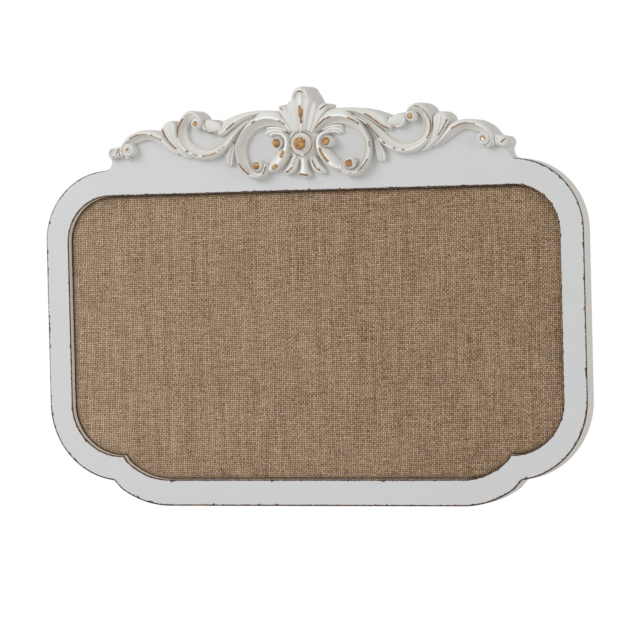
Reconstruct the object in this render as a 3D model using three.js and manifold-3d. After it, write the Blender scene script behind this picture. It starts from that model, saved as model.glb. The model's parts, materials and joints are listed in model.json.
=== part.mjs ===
/**
 * French memo board: a painted board cut to a curved outline, a crest of moulded ornaments glued on
 * its front, a padded burlap pin panel in a rebate behind the opening, turn buttons that hold the
 * panel, and two D-ring hangers with wall bumpers on the back.
 *
 * Millimetres, +Z up, +X to the right seen from the front, and the front faces -Y. The origin lies on
 * the wall, midway between the two hooks that the D-rings hang on.
 */
import * as THREE from 'three';
import { mergeVertices } from 'three/addons/utils/BufferGeometryUtils.js';
import Module from 'manifold-3d';

const wasm = await Module();
wasm.setup();

// Board outline, in heights above its bottom edge
const boardWidth = 640;
const boardThickness = 22;
const stileWidth = 27.5;
const bottomRailWidth = 28.5;
const openingHeight = 322;
const shoulderAboveOpening = 27;
const cornerRadius = 79;
const hipRadius = 87;
const hipHeight = 115;
const footRadius = 103.5;
const footHalfSpan = 174.5;
const outerKinkFillet = 2.5;
const openingKinkFillet = 4;
const leastKinkFillet = 0.5;
const crestHalfSpan = 236;
const notchFillet = 9.5;
const crestLineAboveOpening = 49.5;

// Rebate and pin panel
const lipThickness = 11;
const rebateWidth = 8;
const panelSideClearance = 1;
const panelDepthClearance = 0.3;
const burlapThickness = 0.8;
const hemWidth = 26;
const coreThickness = 6;
const crownHeight = 5;
const crownReach = 30;
const crownPower = 4;

// Crest: its drawing is in rows of units from the middle and from the crest line
const crestUnit = 1;
const ornamentGap = 0.3;
const rosetteRise = 0.5;
const rosetteRadius = 14.5;
const rosetteRelief = 20.5;

// Back hardware
const bumperHeight = 6;
const bumperRadius = 6;
const lowerBumperInset = 24.5;
const upperBumperInset = 98;
const upperBumperAboveRebate = 12;
const screwShankRadius = 1.5;
const screwShankLength = 12;
const screwHeadRadius = 3.3;
const screwHeadHeight = 2;
const screwRecessDepth = 1.1;
const screwRecessWidth = 0.9;
const screwRecessLength = 4.3;
const screwClearance = 0.3;
const screwPointLength = 3;
const buttonThickness = 1;
const buttonHalfWidth = 5;
const buttonReach = 18;
const buttonClearance = 0.2;
const buttonSetback = 7;
const buttonSpread = 90;
const sideButtonHeight = 205;
const hangerSpread = 160;
const hangerAboveRebate = 37;
const strapThickness = 1.1;
const strapHalfWidth = 6;
const strapLength = 31;
const strapScrewPitch = 15;
const ringWireRadius = 1.2;
const ringBarClearance = 0.3;
const ringHalfWidth = 10;
const ringLegLength = 4;
const ringCornerRadius = 3;
const ringToScrew = 8;

// How far a cutting body runs past the face that it cuts
const cutOverrun = 1;

// Places that follow from the sizes
const halfWidth = boardWidth / 2;
const backY = -bumperHeight;
const frontY = backY - boardThickness;
const openingTop = bottomRailWidth + openingHeight;
const rebateTop = openingTop + rebateWidth;
const shoulderTop = openingTop + shoulderAboveOpening;
const crestLine = openingTop + crestLineAboveOpening;
const eyeBore = ringWireRadius + ringBarClearance;
const eyeRadius = eyeBore + strapThickness;
const ringReach = ringLegLength + ringHalfWidth;
const ringAxisHeight = rebateTop + hangerAboveRebate;
const hookHeight = ringAxisHeight + ringReach - ringWireRadius;
const panelFront = frontY + lipThickness + panelDepthClearance;
const panelBack = backY - panelDepthClearance;
const coreBack = panelBack - burlapThickness;
const coreFront = coreBack - coreThickness;
const panelOverhang = rebateWidth - panelSideClearance;

/** Points of an arc of n steps about (x, z) from angle a to angle b in degrees. */
function arc(x, z, radius, a, b, n) {
  return Array.from({ length: n + 1 }, (_, i) => {
    const angle = THREE.MathUtils.degToRad(a + ((b - a) * i) / n);
    return new THREE.Vector2(x + radius * Math.cos(angle), z + radius * Math.sin(angle));
  });
}

/** Points of the circular arc from p through q to r, without p itself. */
function arcThrough(p, q, r, n) {
  const d = 2 * (p[0] * (q[1] - r[1]) + q[0] * (r[1] - p[1]) + r[0] * (p[1] - q[1]));
  const square = (v) => v[0] * v[0] + v[1] * v[1];
  const x = (square(p) * (q[1] - r[1]) + square(q) * (r[1] - p[1]) + square(r) * (p[1] - q[1])) / d;
  const z = (square(p) * (r[0] - q[0]) + square(q) * (p[0] - r[0]) + square(r) * (q[0] - p[0])) / d;
  const angle = (v) => THREE.MathUtils.radToDeg(Math.atan2(v[1] - z, v[0] - x));
  const turn = Math.sign((q[0] - p[0]) * (r[1] - p[1]) - (q[1] - p[1]) * (r[0] - p[0]));
  const sweep = THREE.MathUtils.euclideanModulo(turn * (angle(r) - angle(p)), 360) * turn;
  return arc(x, z, Math.hypot(p[0] - x, p[1] - z), angle(p), angle(p) + sweep, n).slice(1);
}

/** The lower point where circles about a and b meet. */
function lowerMeeting(a, ra, b, rb) {
  const apart = a.distanceTo(b);
  const along = (ra * ra - rb * rb + apart * apart) / (2 * apart);
  const across = Math.sqrt(ra * ra - along * along);
  const u = b.clone().sub(a).divideScalar(apart);
  const foot = a.clone().addScaledVector(u, along);
  const side = new THREE.Vector2(u.y, -u.x);
  if (side.y > 0) side.negate();
  return foot.addScaledVector(side, across);
}

/** Right half of the lower outline: foot arc, rounded kink, hip arc, for widths of rail and stile taken off. */
function lowerEdge(railInset, stileInset, fillet) {
  const foot = new THREE.Vector2(footHalfSpan, footRadius);
  const hip = new THREE.Vector2(halfWidth - hipRadius, hipHeight);
  const footArcRadius = footRadius - railInset;
  const hipArcRadius = hipRadius - stileInset;
  const kink = lowerMeeting(foot, footArcRadius + fillet, hip, hipArcRadius + fillet);
  const angle = (from, to) => THREE.MathUtils.radToDeg(Math.atan2(to.y - from.y, to.x - from.x));
  return [
    ...arc(foot.x, foot.y, footArcRadius, -90, angle(foot, kink), 4),
    ...arc(kink.x, kink.y, fillet, angle(kink, foot), angle(kink, hip), 3).slice(1),
    ...arc(hip.x, hip.y, hipArcRadius, angle(hip, kink), 0, 7).slice(1),
  ];
}

/** Both halves of an outline from its right half, counter-clockwise seen from the front. */
function mirrored(right) {
  const left = right.filter((p) => p.x > 0).map((p) => new THREE.Vector2(-p.x, p.y)).reverse();
  return [...right, ...left];
}

/** The opening's outline, moved outwards by grow (inwards where it is negative). */
function openingOutline(grow) {
  const radius = cornerRadius - stileWidth;
  const corner = arc(halfWidth - cornerRadius, openingTop - radius, radius + grow, 0, 90, 6);
  const fillet = Math.max(leastKinkFillet, openingKinkFillet - grow);
  return mirrored([...lowerEdge(bottomRailWidth - grow, stileWidth - grow, fillet), ...corner]);
}

// Top of the board from the crest's end to the middle: arcs through three points in crest units
const crestContour = [
  [[crestHalfSpan / crestUnit, -10], [239, -4], [233.5, 1.2]],
  [[233.5, 1.2], [228, 2], [223, 3.5]],
  [[223, 3.5], [212.5, 14.3], [192, 20.5]],
  [[192, 20.5], [181, 20], [171.5, 18]],
  [[171.5, 18], [166.5, 28], [160, 30.3]],
  [[160, 30.3], [155.5, 29], [152, 25.5]],
  [[152, 25.5], [141.5, 38.2], [127, 40.3]],
  [[127, 40.3], [121, 37], [118.3, 30]],
  [[118.3, 30], [115, 29.3], [111.5, 29.5]],
  [[111.5, 29.5], [106, 30.2], [98.5, 25.5]],
  [[98.5, 25.5], [75, 35.7], [50, 38.6]],
  [[50, 38.6], [39, 38], [28.5, 36]],
  [[28.5, 36], [28.8, 39.5], [28, 43]],
  [[28, 43], [22, 44.3], [16, 44.2]],
  [[16, 44.2], [12.8, 50], [8.2, 57]],
  [[8.2, 57], [5, 61.8], [0, 63.5]],
];

function boardOutline() {
  const cornerX = halfWidth - cornerRadius;
  const start = crestHalfSpan + notchFillet;
  const reach = Math.max(0, start - cornerX);
  const notchAngle = THREE.MathUtils.radToDeg(Math.acos(reach / cornerRadius));
  const corner = arc(cornerX, shoulderTop - cornerRadius, cornerRadius, 0, notchAngle, 8);
  const ledge = shoulderTop - cornerRadius + Math.sqrt(cornerRadius ** 2 - reach ** 2);
  const notch = arc(start, ledge + notchFillet, notchFillet, -90, -180, 3);
  const above = ([x, z]) => [x * crestUnit, crestLine + z * crestUnit];
  const first = above(crestContour[0][0]);
  const crest = crestContour.flatMap(([p, q, r]) => arcThrough(above(p), above(q), above(r), 4));
  crest[crest.length - 1].x = 0;
  const lower = lowerEdge(0, 0, outerKinkFillet);
  return mirrored([...lower, ...corner, ...notch, new THREE.Vector2(...first), ...crest]);
}

/** Manifold solid of a closed geometry. */
function solidOf(geometry) {
  const bare = geometry.clone();
  bare.deleteAttribute('normal');
  bare.deleteAttribute('uv');
  const merged = mergeVertices(bare);
  const corners = merged.index.array;
  const triangles = [];
  for (let i = 0; i < corners.length; i += 3) {
    const [a, b, c] = corners.slice(i, i + 3);
    if (a !== b && b !== c && c !== a) triangles.push(a, b, c);
  }
  return new wasm.Manifold(new wasm.Mesh({
    numProp: 3,
    vertProperties: new Float32Array(merged.attributes.position.array),
    triVerts: new Uint32Array(triangles),
  }));
}

function geometryOf(solid) {
  const { vertProperties, triVerts } = solid.getMesh();
  const geometry = new THREE.BufferGeometry();
  geometry.setAttribute('position', new THREE.BufferAttribute(new Float32Array(vertProperties), 3));
  geometry.setIndex(new THREE.BufferAttribute(new Uint32Array(triVerts), 1));
  geometry.computeVertexNormals();
  return geometry;
}

const joined = (solids) => solids.reduce((sum, solid) => sum.add(solid));

/** Flat plate of an outline in X and Z, with its front at yFront and its back at yBack. */
function plate(points, yFront, yBack) {
  const shape = new THREE.Shape(points);
  const geometry = new THREE.ExtrudeGeometry(shape, { depth: yBack - yFront, bevelEnabled: false });
  return geometry.rotateX(Math.PI / 2).translate(0, yBack, 0);
}

/** Round peg along Y, from yFront to yBack. */
function peg(radius, x, z, yFront, yBack, sides = 10) {
  const length = yBack - yFront;
  return new THREE.CylinderGeometry(radius, radius, length, sides).translate(x, yFront + length / 2, z);
}

/** Body turned about an axis along Y from rows of radius and reach; facing -1 is to the front, 1 to the back. */
function turned(profile, x, y, z, facing, sides) {
  const geometry = new THREE.LatheGeometry(profile.map(([r, h]) => new THREE.Vector2(r, h)), sides);
  if (facing < 0) geometry.rotateX(Math.PI);
  return geometry.translate(x, y, z);
}

/** Turns a closed indexed geometry right side out. */
function outward(geometry) {
  const corner = geometry.index.array;
  const at = (i) => new THREE.Vector3().fromBufferAttribute(geometry.attributes.position, corner[i]);
  let volume = 0;
  for (let i = 0; i < corner.length; i += 3) volume += at(i).dot(at(i + 1).cross(at(i + 2)));
  if (volume < 0) corner.reverse();
  return geometry;
}

/** Closed body through rings of points of equal count; the flat outlines triangulate its two end caps. */
function loft(rings, firstFlat, lastFlat) {
  const count = rings[0].length;
  const last = (rings.length - 1) * count;
  const index = [];
  for (let row = 0; row < last; row += count) {
    for (let i = 0; i < count; i += 1) {
      const a = row + i;
      const b = row + ((i + 1) % count);
      index.push(a, b, a + count, b, b + count, a + count);
    }
  }
  const cap = (flat, start, along) => {
    const sameTurn = THREE.ShapeUtils.isClockWise(flat) !== along;
    for (const [a, b, c] of THREE.ShapeUtils.triangulateShape(flat, [])) {
      index.push(start + a, start + (sameTurn ? b : c), start + (sameTurn ? c : b));
    }
  };
  cap(firstFlat, 0, false);
  cap(lastFlat, last, true);
  const geometry = new THREE.BufferGeometry();
  geometry.setAttribute('position', new THREE.BufferAttribute(new Float32Array(rings.flat(2)), 3));
  geometry.setIndex(index);
  return outward(geometry);
}

// Cross-sections of the ornaments: share of the width from the ridge (outer side negative), share of the height
const cove = [[-1, 0], [-0.85, 0.6], [-0.35, 0.94], [0, 1], [0.2, 0.76], [0.5, 0.5], [0.88, 0.44], [1, 0]];
const leaf = [[-1, 0], [-0.8, 0.55], [0, 1], [0.8, 0.55], [1, 0]];
const round = [[-1, 0], [-0.85, 0.52], [-0.4, 0.92], [0.4, 0.92], [0.85, 0.52], [1, 0]];

/**
 * Ornament swept along a smooth ridge. Each row gives, in crest units, the ridge point (distance from the
 * middle, height above the crest line), the widths on its outer and inner side and its relief off the board.
 */
function sweep(rows, section, steps) {
  const smooth = (points) => new THREE.CatmullRomCurve3(points, false, 'catmullrom');
  const real = rows.map((row) => row.map((value) => value * crestUnit));
  const ridge = smooth(real.map(([x, z]) => new THREE.Vector3(x, 0, z)));
  const sizes = smooth(real.map(([, , outer, inner, relief]) => new THREE.Vector3(outer, inner, relief)));
  const flat = section.map(([across, rise]) => new THREE.Vector2(across, rise));
  return (side, grow) => {
    const rings = Array.from({ length: steps + 1 }, (_, i) => {
      const point = ridge.getPoint(i / steps);
      const along = ridge.getTangent(i / steps);
      const { x: outer, y: inner, z: relief } = sizes.getPoint(i / steps);
      if (i === 0) point.addScaledVector(along, -grow);
      if (i === steps) point.addScaledVector(along, grow);
      return section.map(([across, rise]) => {
        const offset = across < 0 ? across * (outer + grow) : across * (inner + grow);
        const height = rise > 0 ? rise * relief + grow : -grow;
        return [side * (point.x + along.z * offset), frontY - height, crestLine + point.z - along.x * offset];
      });
    });
    return solidOf(loft(rings, flat, flat));
  };
}

/** Bullet-shaped ball in the eye of a scroll, in crest units. */
function ball(x, z, radius, relief) {
  return (side, grow) => {
    const r = radius * crestUnit + grow;
    const h = relief * crestUnit + grow;
    const profile = [[0, -grow], [r, -grow], [r, 0.5 * h], [0.8 * r, 0.82 * h], [0.4 * r, 0.96 * h], [0, h]];
    return solidOf(turned(profile, side * x * crestUnit, frontY, crestLine + z * crestUnit, -1, 12));
  };
}

/** Turned rosette: a rim, a groove and a button, as shares of its radius and relief. */
function rosette(side, grow) {
  const shares = [
    [1, 0.45], [0.94, 0.68], [0.88, 0.72], [0.8, 0.65], [0.72, 0.71], [0.6, 0.73], [0.55, 0.84], [0.34, 0.97],
    [0, 1],
  ];
  const rim = rosetteRadius + grow;
  const profile = [[0, -grow], [rim, -grow], ...shares.map(([r, h]) => [r * rim, h * rosetteRelief + grow])];
  return solidOf(turned(profile, 0, frontY, crestLine + rosetteRise, -1, 20));
}

const palmetteForms = [
  sweep([[0, 12, 4, 4, 12], [0, 25, 7, 7, 15], [0, 38, 9.5, 9.5, 16], [0, 50, 11, 11, 15],
    [0, 58, 10, 10, 14.5], [0, 63.8, 5, 5, 8]], round, 10),
  ...[1, -1].flatMap((half) => [
    sweep([[6 * half, 12, 3, 3, 11], [10 * half, 27, 4.5, 4.5, 11], [14 * half, 40, 4.8, 4.8, 10],
      [16 * half, 50, 2.5, 2.5, 7]], leaf, 6),
    sweep([[8 * half, 11, 3, 3, 10], [14.5 * half, 25, 4, 4, 10], [21 * half, 34.5, 5, 5, 10],
      [27 * half, 42.3, 3, 3, 9]], leaf, 6),
  ]),
];

const footStemForms = [
  sweep([[0, -12, 5.5, 5.5, 10], [0, -20, 5, 5, 10], [0, -27, 5.5, 5.5, 10], [0, -33, 8.5, 8.5, 11],
    [0, -38, 5, 5, 6]], round, 8),
];

const footLeafForms = [
  sweep([[8.5, -10, 4, 3, 9], [11, -17, 5.5, 4.5, 10], [14.5, -25, 7, 5, 10], [20.5, -30, 6, 4, 9],
    [26, -32, 2, 1.5, 5]], leaf, 8),
];

const innerScrollForms = [
  sweep([[31, 12.5, 2, 2, 9], [25, 11.5, 2.5, 3, 11], [20.5, 7.5, 3, 4, 12], [18.8, 2, 4, 5, 12.5],
    [19.5, -3.5, 5, 5.5, 12.5], [23, -10, 8, 6.5, 12], [28, -16.5, 10, 7, 11], [33.5, -23, 8, 6, 9.5],
    [39, -26.5, 4, 4, 6]], leaf, 16),
  ball(29.5, 2, 6.5, 17),
  sweep([[22, 14.5, 2, 2, 5], [30, 18, 3, 3, 5], [40, 20, 3, 3, 4], [48, 19.5, 1.5, 1.5, 2]], leaf, 5),
  sweep([[25, 11.5, 2, 2, 5], [34, 14.8, 2.6, 2.6, 4.5], [42, 15.5, 2.4, 2.4, 3.5],
    [48, 14, 1, 1, 2]], leaf, 5),
  sweep([[29, 9.5, 2, 2, 4], [36, 11.8, 2, 2, 4], [44, 10.3, 1, 1, 2]], leaf, 4),
];

const cScrollForms = [
  sweep([[14, 13.5, 3, 3, 10], [19.5, 21, 4, 6, 11], [27, 26.5, 6, 8, 12], [36, 29.3, 8.5, 9, 12],
    [46, 29.6, 9.2, 9.5, 12], [56, 26.8, 5, 9.5, 12], [66, 21, 3, 9, 12], [73.5, 12.5, 1.5, 9, 12],
    [78, 4, 1, 9, 12], [79.5, -4, 1, 9.5, 12], [78.5, -13.5, 1.5, 9.5, 12], [74.5, -22, 2.5, 9, 12.5],
    [67.5, -29.5, 3.5, 7, 12.5], [60, -33.2, 4.5, 5, 12.5], [52.5, -33.2, 4.5, 3.5, 12.5],
    [46.5, -29.5, 3, 3, 12], [45, -23.5, 2, 2.5, 11], [47, -19, 1.5, 2, 9]], cove, 26),
  ball(55, -22.7, 6.8, 14),
];

const featherForms = [
  sweep([[50, 34.5, 3, 3, 6], [62, 34, 4.5, 3.5, 8], [73, 31, 5.5, 4, 9], [83, 25.3, 7, 4, 9.5],
    [90, 20, 8, 3.5, 9.5], [96, 14.7, 8, 3, 9], [104, 11.5, 2, 1.5, 5]], leaf, 10),
];

const sScrollForms = [
  sweep([[121, 29.5, 2.5, 2.5, 8], [121.6, 33.2, 2.8, 3.5, 10.5], [125.4, 36, 4.3, 5, 12],
    [131.4, 36.3, 5, 6, 12], [138, 34.5, 4.5, 7, 11.5], [143.4, 31, 3.5, 8, 11], [148.4, 24.5, 1.5, 9.5, 10.5],
    [150.4, 18, 1, 10.5, 10], [150, 10, 1.2, 11, 10], [146.4, 2.5, 2.5, 11, 10],
    [139.4, -3.7, 3.5, 10.5, 10], [131, -7.7, 4.5, 10, 10],
    [121.4, -9.7, 4.5, 9.5, 10], [111.4, -9, 4.5, 9, 10], [102.5, -5.5, 4, 9, 10], [94, 0, 3.5, 8.5, 10],
    [86.5, 8, 2.5, 8, 9.5], [79, 16.5, 2, 6, 9], [69, 24.8, 2, 4, 8.5], [56, 31, 2, 2, 6]], cove, 28),
  ball(128, 26.8, 6.8, 12),
];

const budForms = [
  sweep([[120, 24.5, 2, 2, 7], [114, 23, 6, 5.5, 8.5], [106, 23.5, 6.5, 5.5, 8],
    [98, 24.5, 1.5, 1.5, 6]], round, 6),
];

const leafSprayForms = [
  sweep([[170, 24, 1.5, 4, 10], [167.5, 17.5, 2, 6, 10.5], [163, 10, 2.5, 6, 10], [157.5, 3.5, 3, 5.5, 9],
    [151, -2.5, 3, 4, 8], [143, -8.5, 2.5, 3, 6], [135, -11.5, 1, 1, 3]], leaf, 10),
  sweep([[161, 29, 5, 6, 9], [159, 18, 5, 6, 9], [155.5, 9, 4, 5, 8], [149, 0, 2.5, 2.5, 6]], leaf, 6),
];

const tailForms = [
  sweep([[151, -7, 2, 2, 5], [160.5, -0.5, 3, 4, 7], [170.8, 9.5, 5, 7, 8.5], [177, 13.3, 4.5, 7, 9],
    [184, 16, 4, 6.5, 9.5], [192, 17.8, 3, 7.5, 9.5], [200, 17, 3, 9, 9.5], [208.5, 13.8, 3, 8, 10],
    [215, 8.5, 3, 6, 10], [219.5, 2, 2.5, 4, 10], [219.5, -4, 2, 3, 9.5], [215.5, -8.5, 2, 2.5, 9],
    [210.5, -9, 1.5, 2, 8]], cove, 20),
  ball(211, 0, 7.8, 11.5),
];

const tipForms = [
  sweep([[221, -1, 3.5, 3, 7], [231, 0, 4, 3, 6], [239, -2.5, 1.5, 1.5, 3]], leaf, 4),
  sweep([[221, -6, 3, 3, 6], [230, -6.5, 3, 3, 5], [237, -8.5, 1.2, 1.2, 3]], leaf, 4),
];

const dropLeafForms = [
  sweep([[84, 4, 3, 3, 4], [88, -6, 4, 4, 5], [91, -15, 5, 5.5, 5], [92, -22, 1.5, 1.5, 2]], leaf, 6),
];

// Ornaments in the order in which they lie over each other: each is cut clear of the ones named after it
const ornaments = [
  { name: 'rosette', forms: [rosette], under: [] },
  { name: 'palmette', forms: palmetteForms, under: ['rosette'] },
  { name: 'inner_scroll', paired: true, forms: innerScrollForms, under: ['rosette', 'palmette'] },
  { name: 'foot_stem', forms: footStemForms, under: ['rosette'] },
  { name: 'foot_leaf', paired: true, forms: footLeafForms, under: ['rosette', 'inner_scroll', 'foot_stem'] },
  { name: 'c_scroll', paired: true, forms: cScrollForms, under: ['rosette', 'palmette', 'inner_scroll'] },
  { name: 'feather_leaf', paired: true, forms: featherForms, under: ['c_scroll'] },
  { name: 's_scroll', paired: true, forms: sScrollForms, under: ['c_scroll', 'feather_leaf'] },
  { name: 'bud', paired: true, forms: budForms, under: ['s_scroll', 'feather_leaf'] },
  { name: 'leaf_spray', paired: true, forms: leafSprayForms, under: ['s_scroll'] },
  { name: 'tail_scroll', paired: true, forms: tailForms, under: ['s_scroll', 'leaf_spray'] },
  { name: 'tail_tip', paired: true, forms: tipForms, under: ['tail_scroll'] },
  { name: 'drop_leaf', paired: true, forms: dropLeafForms, under: ['s_scroll', 'c_scroll'] },
];

// Finishes
function finish(color, roughness, metalness = 0) {
  return new THREE.MeshStandardMaterial({ color, roughness, metalness });
}

const chalkPaint = finish(0xd3d2ce, 0.75);
const ornamentPaint = finish(0xd6d4cd, 0.7);
const burlap = finish(0x917960, 0.95);
const foam = finish(0xe6dcb4, 0.9);
const fibreboard = finish(0xa98d68, 0.85);
const brass = finish(0xb9974f, 0.35, 1);
const zincSteel = finish(0xb4b7ba, 0.35, 1);
const rubber = finish(0x8d8a84, 0.6);

const memoBoard = new THREE.Group();
memoBoard.position.z = -hookHeight;

function add(name, geometry, material) {
  const mesh = new THREE.Mesh(geometry, material);
  mesh.name = name;
  memoBoard.add(mesh);
}

/** Places of the turn buttons: pivot in X and Z, and the angle that points over the panel. */
function turnButtons() {
  const outside = rebateWidth + buttonSetback;
  const top = openingTop + outside;
  const bottom = bottomRailWidth - outside;
  const side = halfWidth - stileWidth + outside;
  return [
    { name: 'top_left', x: -buttonSpread, z: top, angle: -90 },
    { name: 'top_right', x: buttonSpread, z: top, angle: -90 },
    { name: 'bottom_left', x: -buttonSpread, z: bottom, angle: 90 },
    { name: 'bottom_right', x: buttonSpread, z: bottom, angle: 90 },
    { name: 'side_left', x: -side, z: sideButtonHeight, angle: 0 },
    { name: 'side_right', x: side, z: sideButtonHeight, angle: 180 },
  ];
}

/** Places of the hanger screws on one side, from the upper to the lower. */
function hangerScrews(side) {
  return ['upper', 'lower'].map((name, i) => (
    { name, x: side * hangerSpread, z: ringAxisHeight - ringToScrew - i * strapScrewPitch }));
}

const sides = [['left', -1], ['right', 1]];

function addBoard() {
  const screws = [...turnButtons(), ...sides.flatMap(([, side]) => hangerScrews(side))];
  const bore = screwShankRadius + screwClearance;
  const depth = screwShankLength + screwClearance;
  const cuts = [
    plate(openingOutline(0), frontY - cutOverrun, backY + cutOverrun),
    plate(openingOutline(rebateWidth), frontY + lipThickness, backY + cutOverrun),
    ...screws.map(({ x, z }) => peg(bore, x, z, backY - depth, backY + cutOverrun)),
  ];
  const board = solidOf(plate(boardOutline(), frontY, backY)).subtract(joined(cuts.map(solidOf)));
  add('frame_board', geometryOf(board), chalkPaint);
}

/** How far the panel's face stands forward at a distance inside the opening's edge. */
const crown = (inside) => crownHeight * (1 - (1 - Math.min(1, inside / crownReach)) ** crownPower);
const crownSteps = [1, 0.6, 0.35, 0.18, 0.07, 0].map((share) => share * crownReach);

const ringAt = (grow, y) => openingOutline(grow).map((p) => [p.x, y, p.y]);
const crownRings = (y) => crownSteps.map((inside) => ringAt(-inside, y - crown(inside)));

function addPanel() {
  const centre = openingOutline(-crownReach);
  const sheetBack = panelFront + burlapThickness;
  const core = panelOverhang - burlapThickness;
  const hemEdge = panelOverhang - hemWidth;
  const cover = loft([
    ...crownRings(panelFront), ringAt(panelOverhang, panelFront), ringAt(panelOverhang, panelBack),
    ringAt(hemEdge, panelBack), ringAt(hemEdge, coreBack), ringAt(core, coreBack), ringAt(core, sheetBack),
    ...crownRings(sheetBack).reverse(),
  ], centre, centre);
  const inset = core - ornamentGap;
  const padFront = sheetBack + ornamentGap;
  const pad = loft([...crownRings(padFront), ringAt(inset, padFront), ringAt(inset, coreFront)],
    centre, openingOutline(inset));
  add('burlap_cover', cover, burlap);
  add('foam_pad', pad, foam);
  add('pin_core', plate(openingOutline(inset), coreFront, coreBack), fibreboard);
}

function addOrnaments() {
  const cutters = {};
  for (const { name, paired, forms, under } of ornaments) {
    for (const [label, side] of paired ? sides : [['', 1]]) {
      const node = paired ? `${name}_${label}` : name;
      const cut = under.map((key) => cutters[key] ?? cutters[`${key}_${label}`]);
      const whole = joined(forms.map((form) => form(side, 0)));
      cutters[node] = joined(forms.map((form) => form(side, ornamentGap)));
      add(node, geometryOf(cut.length ? whole.subtract(joined(cut)) : whole), ornamentPaint);
    }
  }
}

/** Pan-head screw with a cross recess, its head's underside at y. */
function screw(x, y, z) {
  const r = screwHeadRadius;
  const h = screwHeadHeight;
  const profile = [
    [0, -screwShankLength], [screwShankRadius, -screwShankLength + screwPointLength], [screwShankRadius, 0],
    [r, 0], [r, 0.45 * h], [0.7 * r, 0.88 * h], [0, h],
  ];
  const slot = (wide, high) => new THREE.BoxGeometry(wide, 2 * screwRecessDepth, high).translate(0, h, 0);
  const cross = [slot(screwRecessLength, screwRecessWidth), slot(screwRecessWidth, screwRecessLength)];
  const body = solidOf(turned(profile, 0, 0, 0, 1, 8)).subtract(joined(cross.map(solidOf)));
  return geometryOf(body).translate(x, y, z);
}

function addTurnButtons() {
  const shape = new THREE.Shape();
  shape.absarc(0, 0, buttonHalfWidth, Math.PI / 2, (3 * Math.PI) / 2, false);
  shape.absarc(buttonReach - buttonHalfWidth, 0, buttonHalfWidth, -Math.PI / 2, Math.PI / 2, false);
  const hole = new THREE.Path().absarc(0, 0, screwShankRadius + screwClearance, 0, 2 * Math.PI, true);
  shape.holes.push(hole);
  const options = { depth: buttonThickness, bevelEnabled: false, curveSegments: 5 };
  const near = backY + buttonClearance;
  for (const { name, x, z, angle } of turnButtons()) {
    const button = new THREE.ExtrudeGeometry(shape, options).rotateZ(THREE.MathUtils.degToRad(angle));
    button.rotateX(Math.PI / 2).translate(x, near + buttonThickness, z);
    add(`turn_button_${name}`, button, brass);
    add(`button_screw_${name}`, screw(x, near + buttonThickness + buttonClearance, z), brass);
  }
}

/** Strap of a hanger: a plate with a rounded foot and an eye rolled round the ring's bar. */
function strap(side) {
  const x = side * hangerSpread;
  const foot = ringAxisHeight - strapLength + strapHalfWidth;
  const outline = [
    ...arc(x, foot, strapHalfWidth, 180, 360, 8),
    new THREE.Vector2(x + strapHalfWidth, ringAxisHeight),
    new THREE.Vector2(x - strapHalfWidth, ringAxisHeight),
  ];
  const eye = new THREE.CylinderGeometry(eyeRadius, eyeRadius, 2 * strapHalfWidth, 14).rotateZ(Math.PI / 2);
  const bore = new THREE.CylinderGeometry(eyeBore, eyeBore, 4 * strapHalfWidth, 14).rotateZ(Math.PI / 2);
  for (const tube of [eye, bore]) tube.translate(x, backY + eyeRadius, ringAxisHeight);
  const hole = screwShankRadius + screwClearance;
  const past = backY + strapThickness + cutOverrun;
  const holes = hangerScrews(side).map((at) => peg(hole, at.x, at.z, backY - cutOverrun, past));
  const body = solidOf(plate(outline, backY, backY + strapThickness)).add(solidOf(eye));
  return geometryOf(body.subtract(joined([bore, ...holes].map(solidOf))));
}

/** D-ring hanging from its bar: a round wire carried along the closed D. */
function dRing(side) {
  const corner = ringHalfWidth - ringCornerRadius;
  const path = [
    ...arc(0, -ringLegLength, ringHalfWidth, -180, 0, 12),
    ...arc(corner, -ringCornerRadius, ringCornerRadius, 0, 90, 3),
    ...arc(-corner, -ringCornerRadius, ringCornerRadius, 90, 180, 3),
  ];
  const wireSides = 8;
  const position = [];
  const index = [];
  path.forEach((point, i) => {
    const next = path[(i + 1) % path.length];
    const previous = path[(i + path.length - 1) % path.length];
    const normal = next.clone().sub(previous).normalize().rotateAround(new THREE.Vector2(), -Math.PI / 2);
    for (let k = 0; k < wireSides; k += 1) {
      const angle = (2 * Math.PI * (k + 0.5)) / wireSides;
      const out = ringWireRadius * Math.cos(angle);
      position.push(point.x + normal.x * out, ringWireRadius * Math.sin(angle), point.y + normal.y * out);
      const a = i * wireSides + k;
      const b = i * wireSides + ((k + 1) % wireSides);
      const c = ((i + 1) % path.length) * wireSides + k;
      const d = ((i + 1) % path.length) * wireSides + ((k + 1) % wireSides);
      index.push(a, b, c, b, d, c);
    }
  });
  const geometry = new THREE.BufferGeometry();
  geometry.setAttribute('position', new THREE.BufferAttribute(new Float32Array(position), 3));
  geometry.setIndex(index);
  return outward(geometry).translate(side * hangerSpread, backY + eyeRadius, ringAxisHeight);
}

function addHangers() {
  for (const [label, side] of sides) {
    add(`hanger_strap_${label}`, strap(side), zincSteel);
    add(`hanger_ring_${label}`, dRing(side), zincSteel);
    for (const { name, x, z } of hangerScrews(side)) {
      add(`hanger_screw_${label}_${name}`, screw(x, backY + strapThickness, z), zincSteel);
    }
  }
}

function addBumpers() {
  const r = bumperRadius;
  const profile = [[0, 0], [r, 0], [r, 0.5 * bumperHeight], [0.7 * r, bumperHeight], [0, bumperHeight]];
  const lower = (bottomRailWidth - rebateWidth) / 2;
  const upper = rebateTop + upperBumperAboveRebate;
  const lowerX = footHalfSpan - lowerBumperInset;
  const upperX = halfWidth - upperBumperInset;
  for (const [label, side] of sides) {
    add(`bumper_lower_${label}`, turned(profile, side * lowerX, backY, lower, 1, 14), rubber);
    add(`bumper_upper_${label}`, turned(profile, side * upperX, backY, upper, 1, 14), rubber);
  }
}

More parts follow.
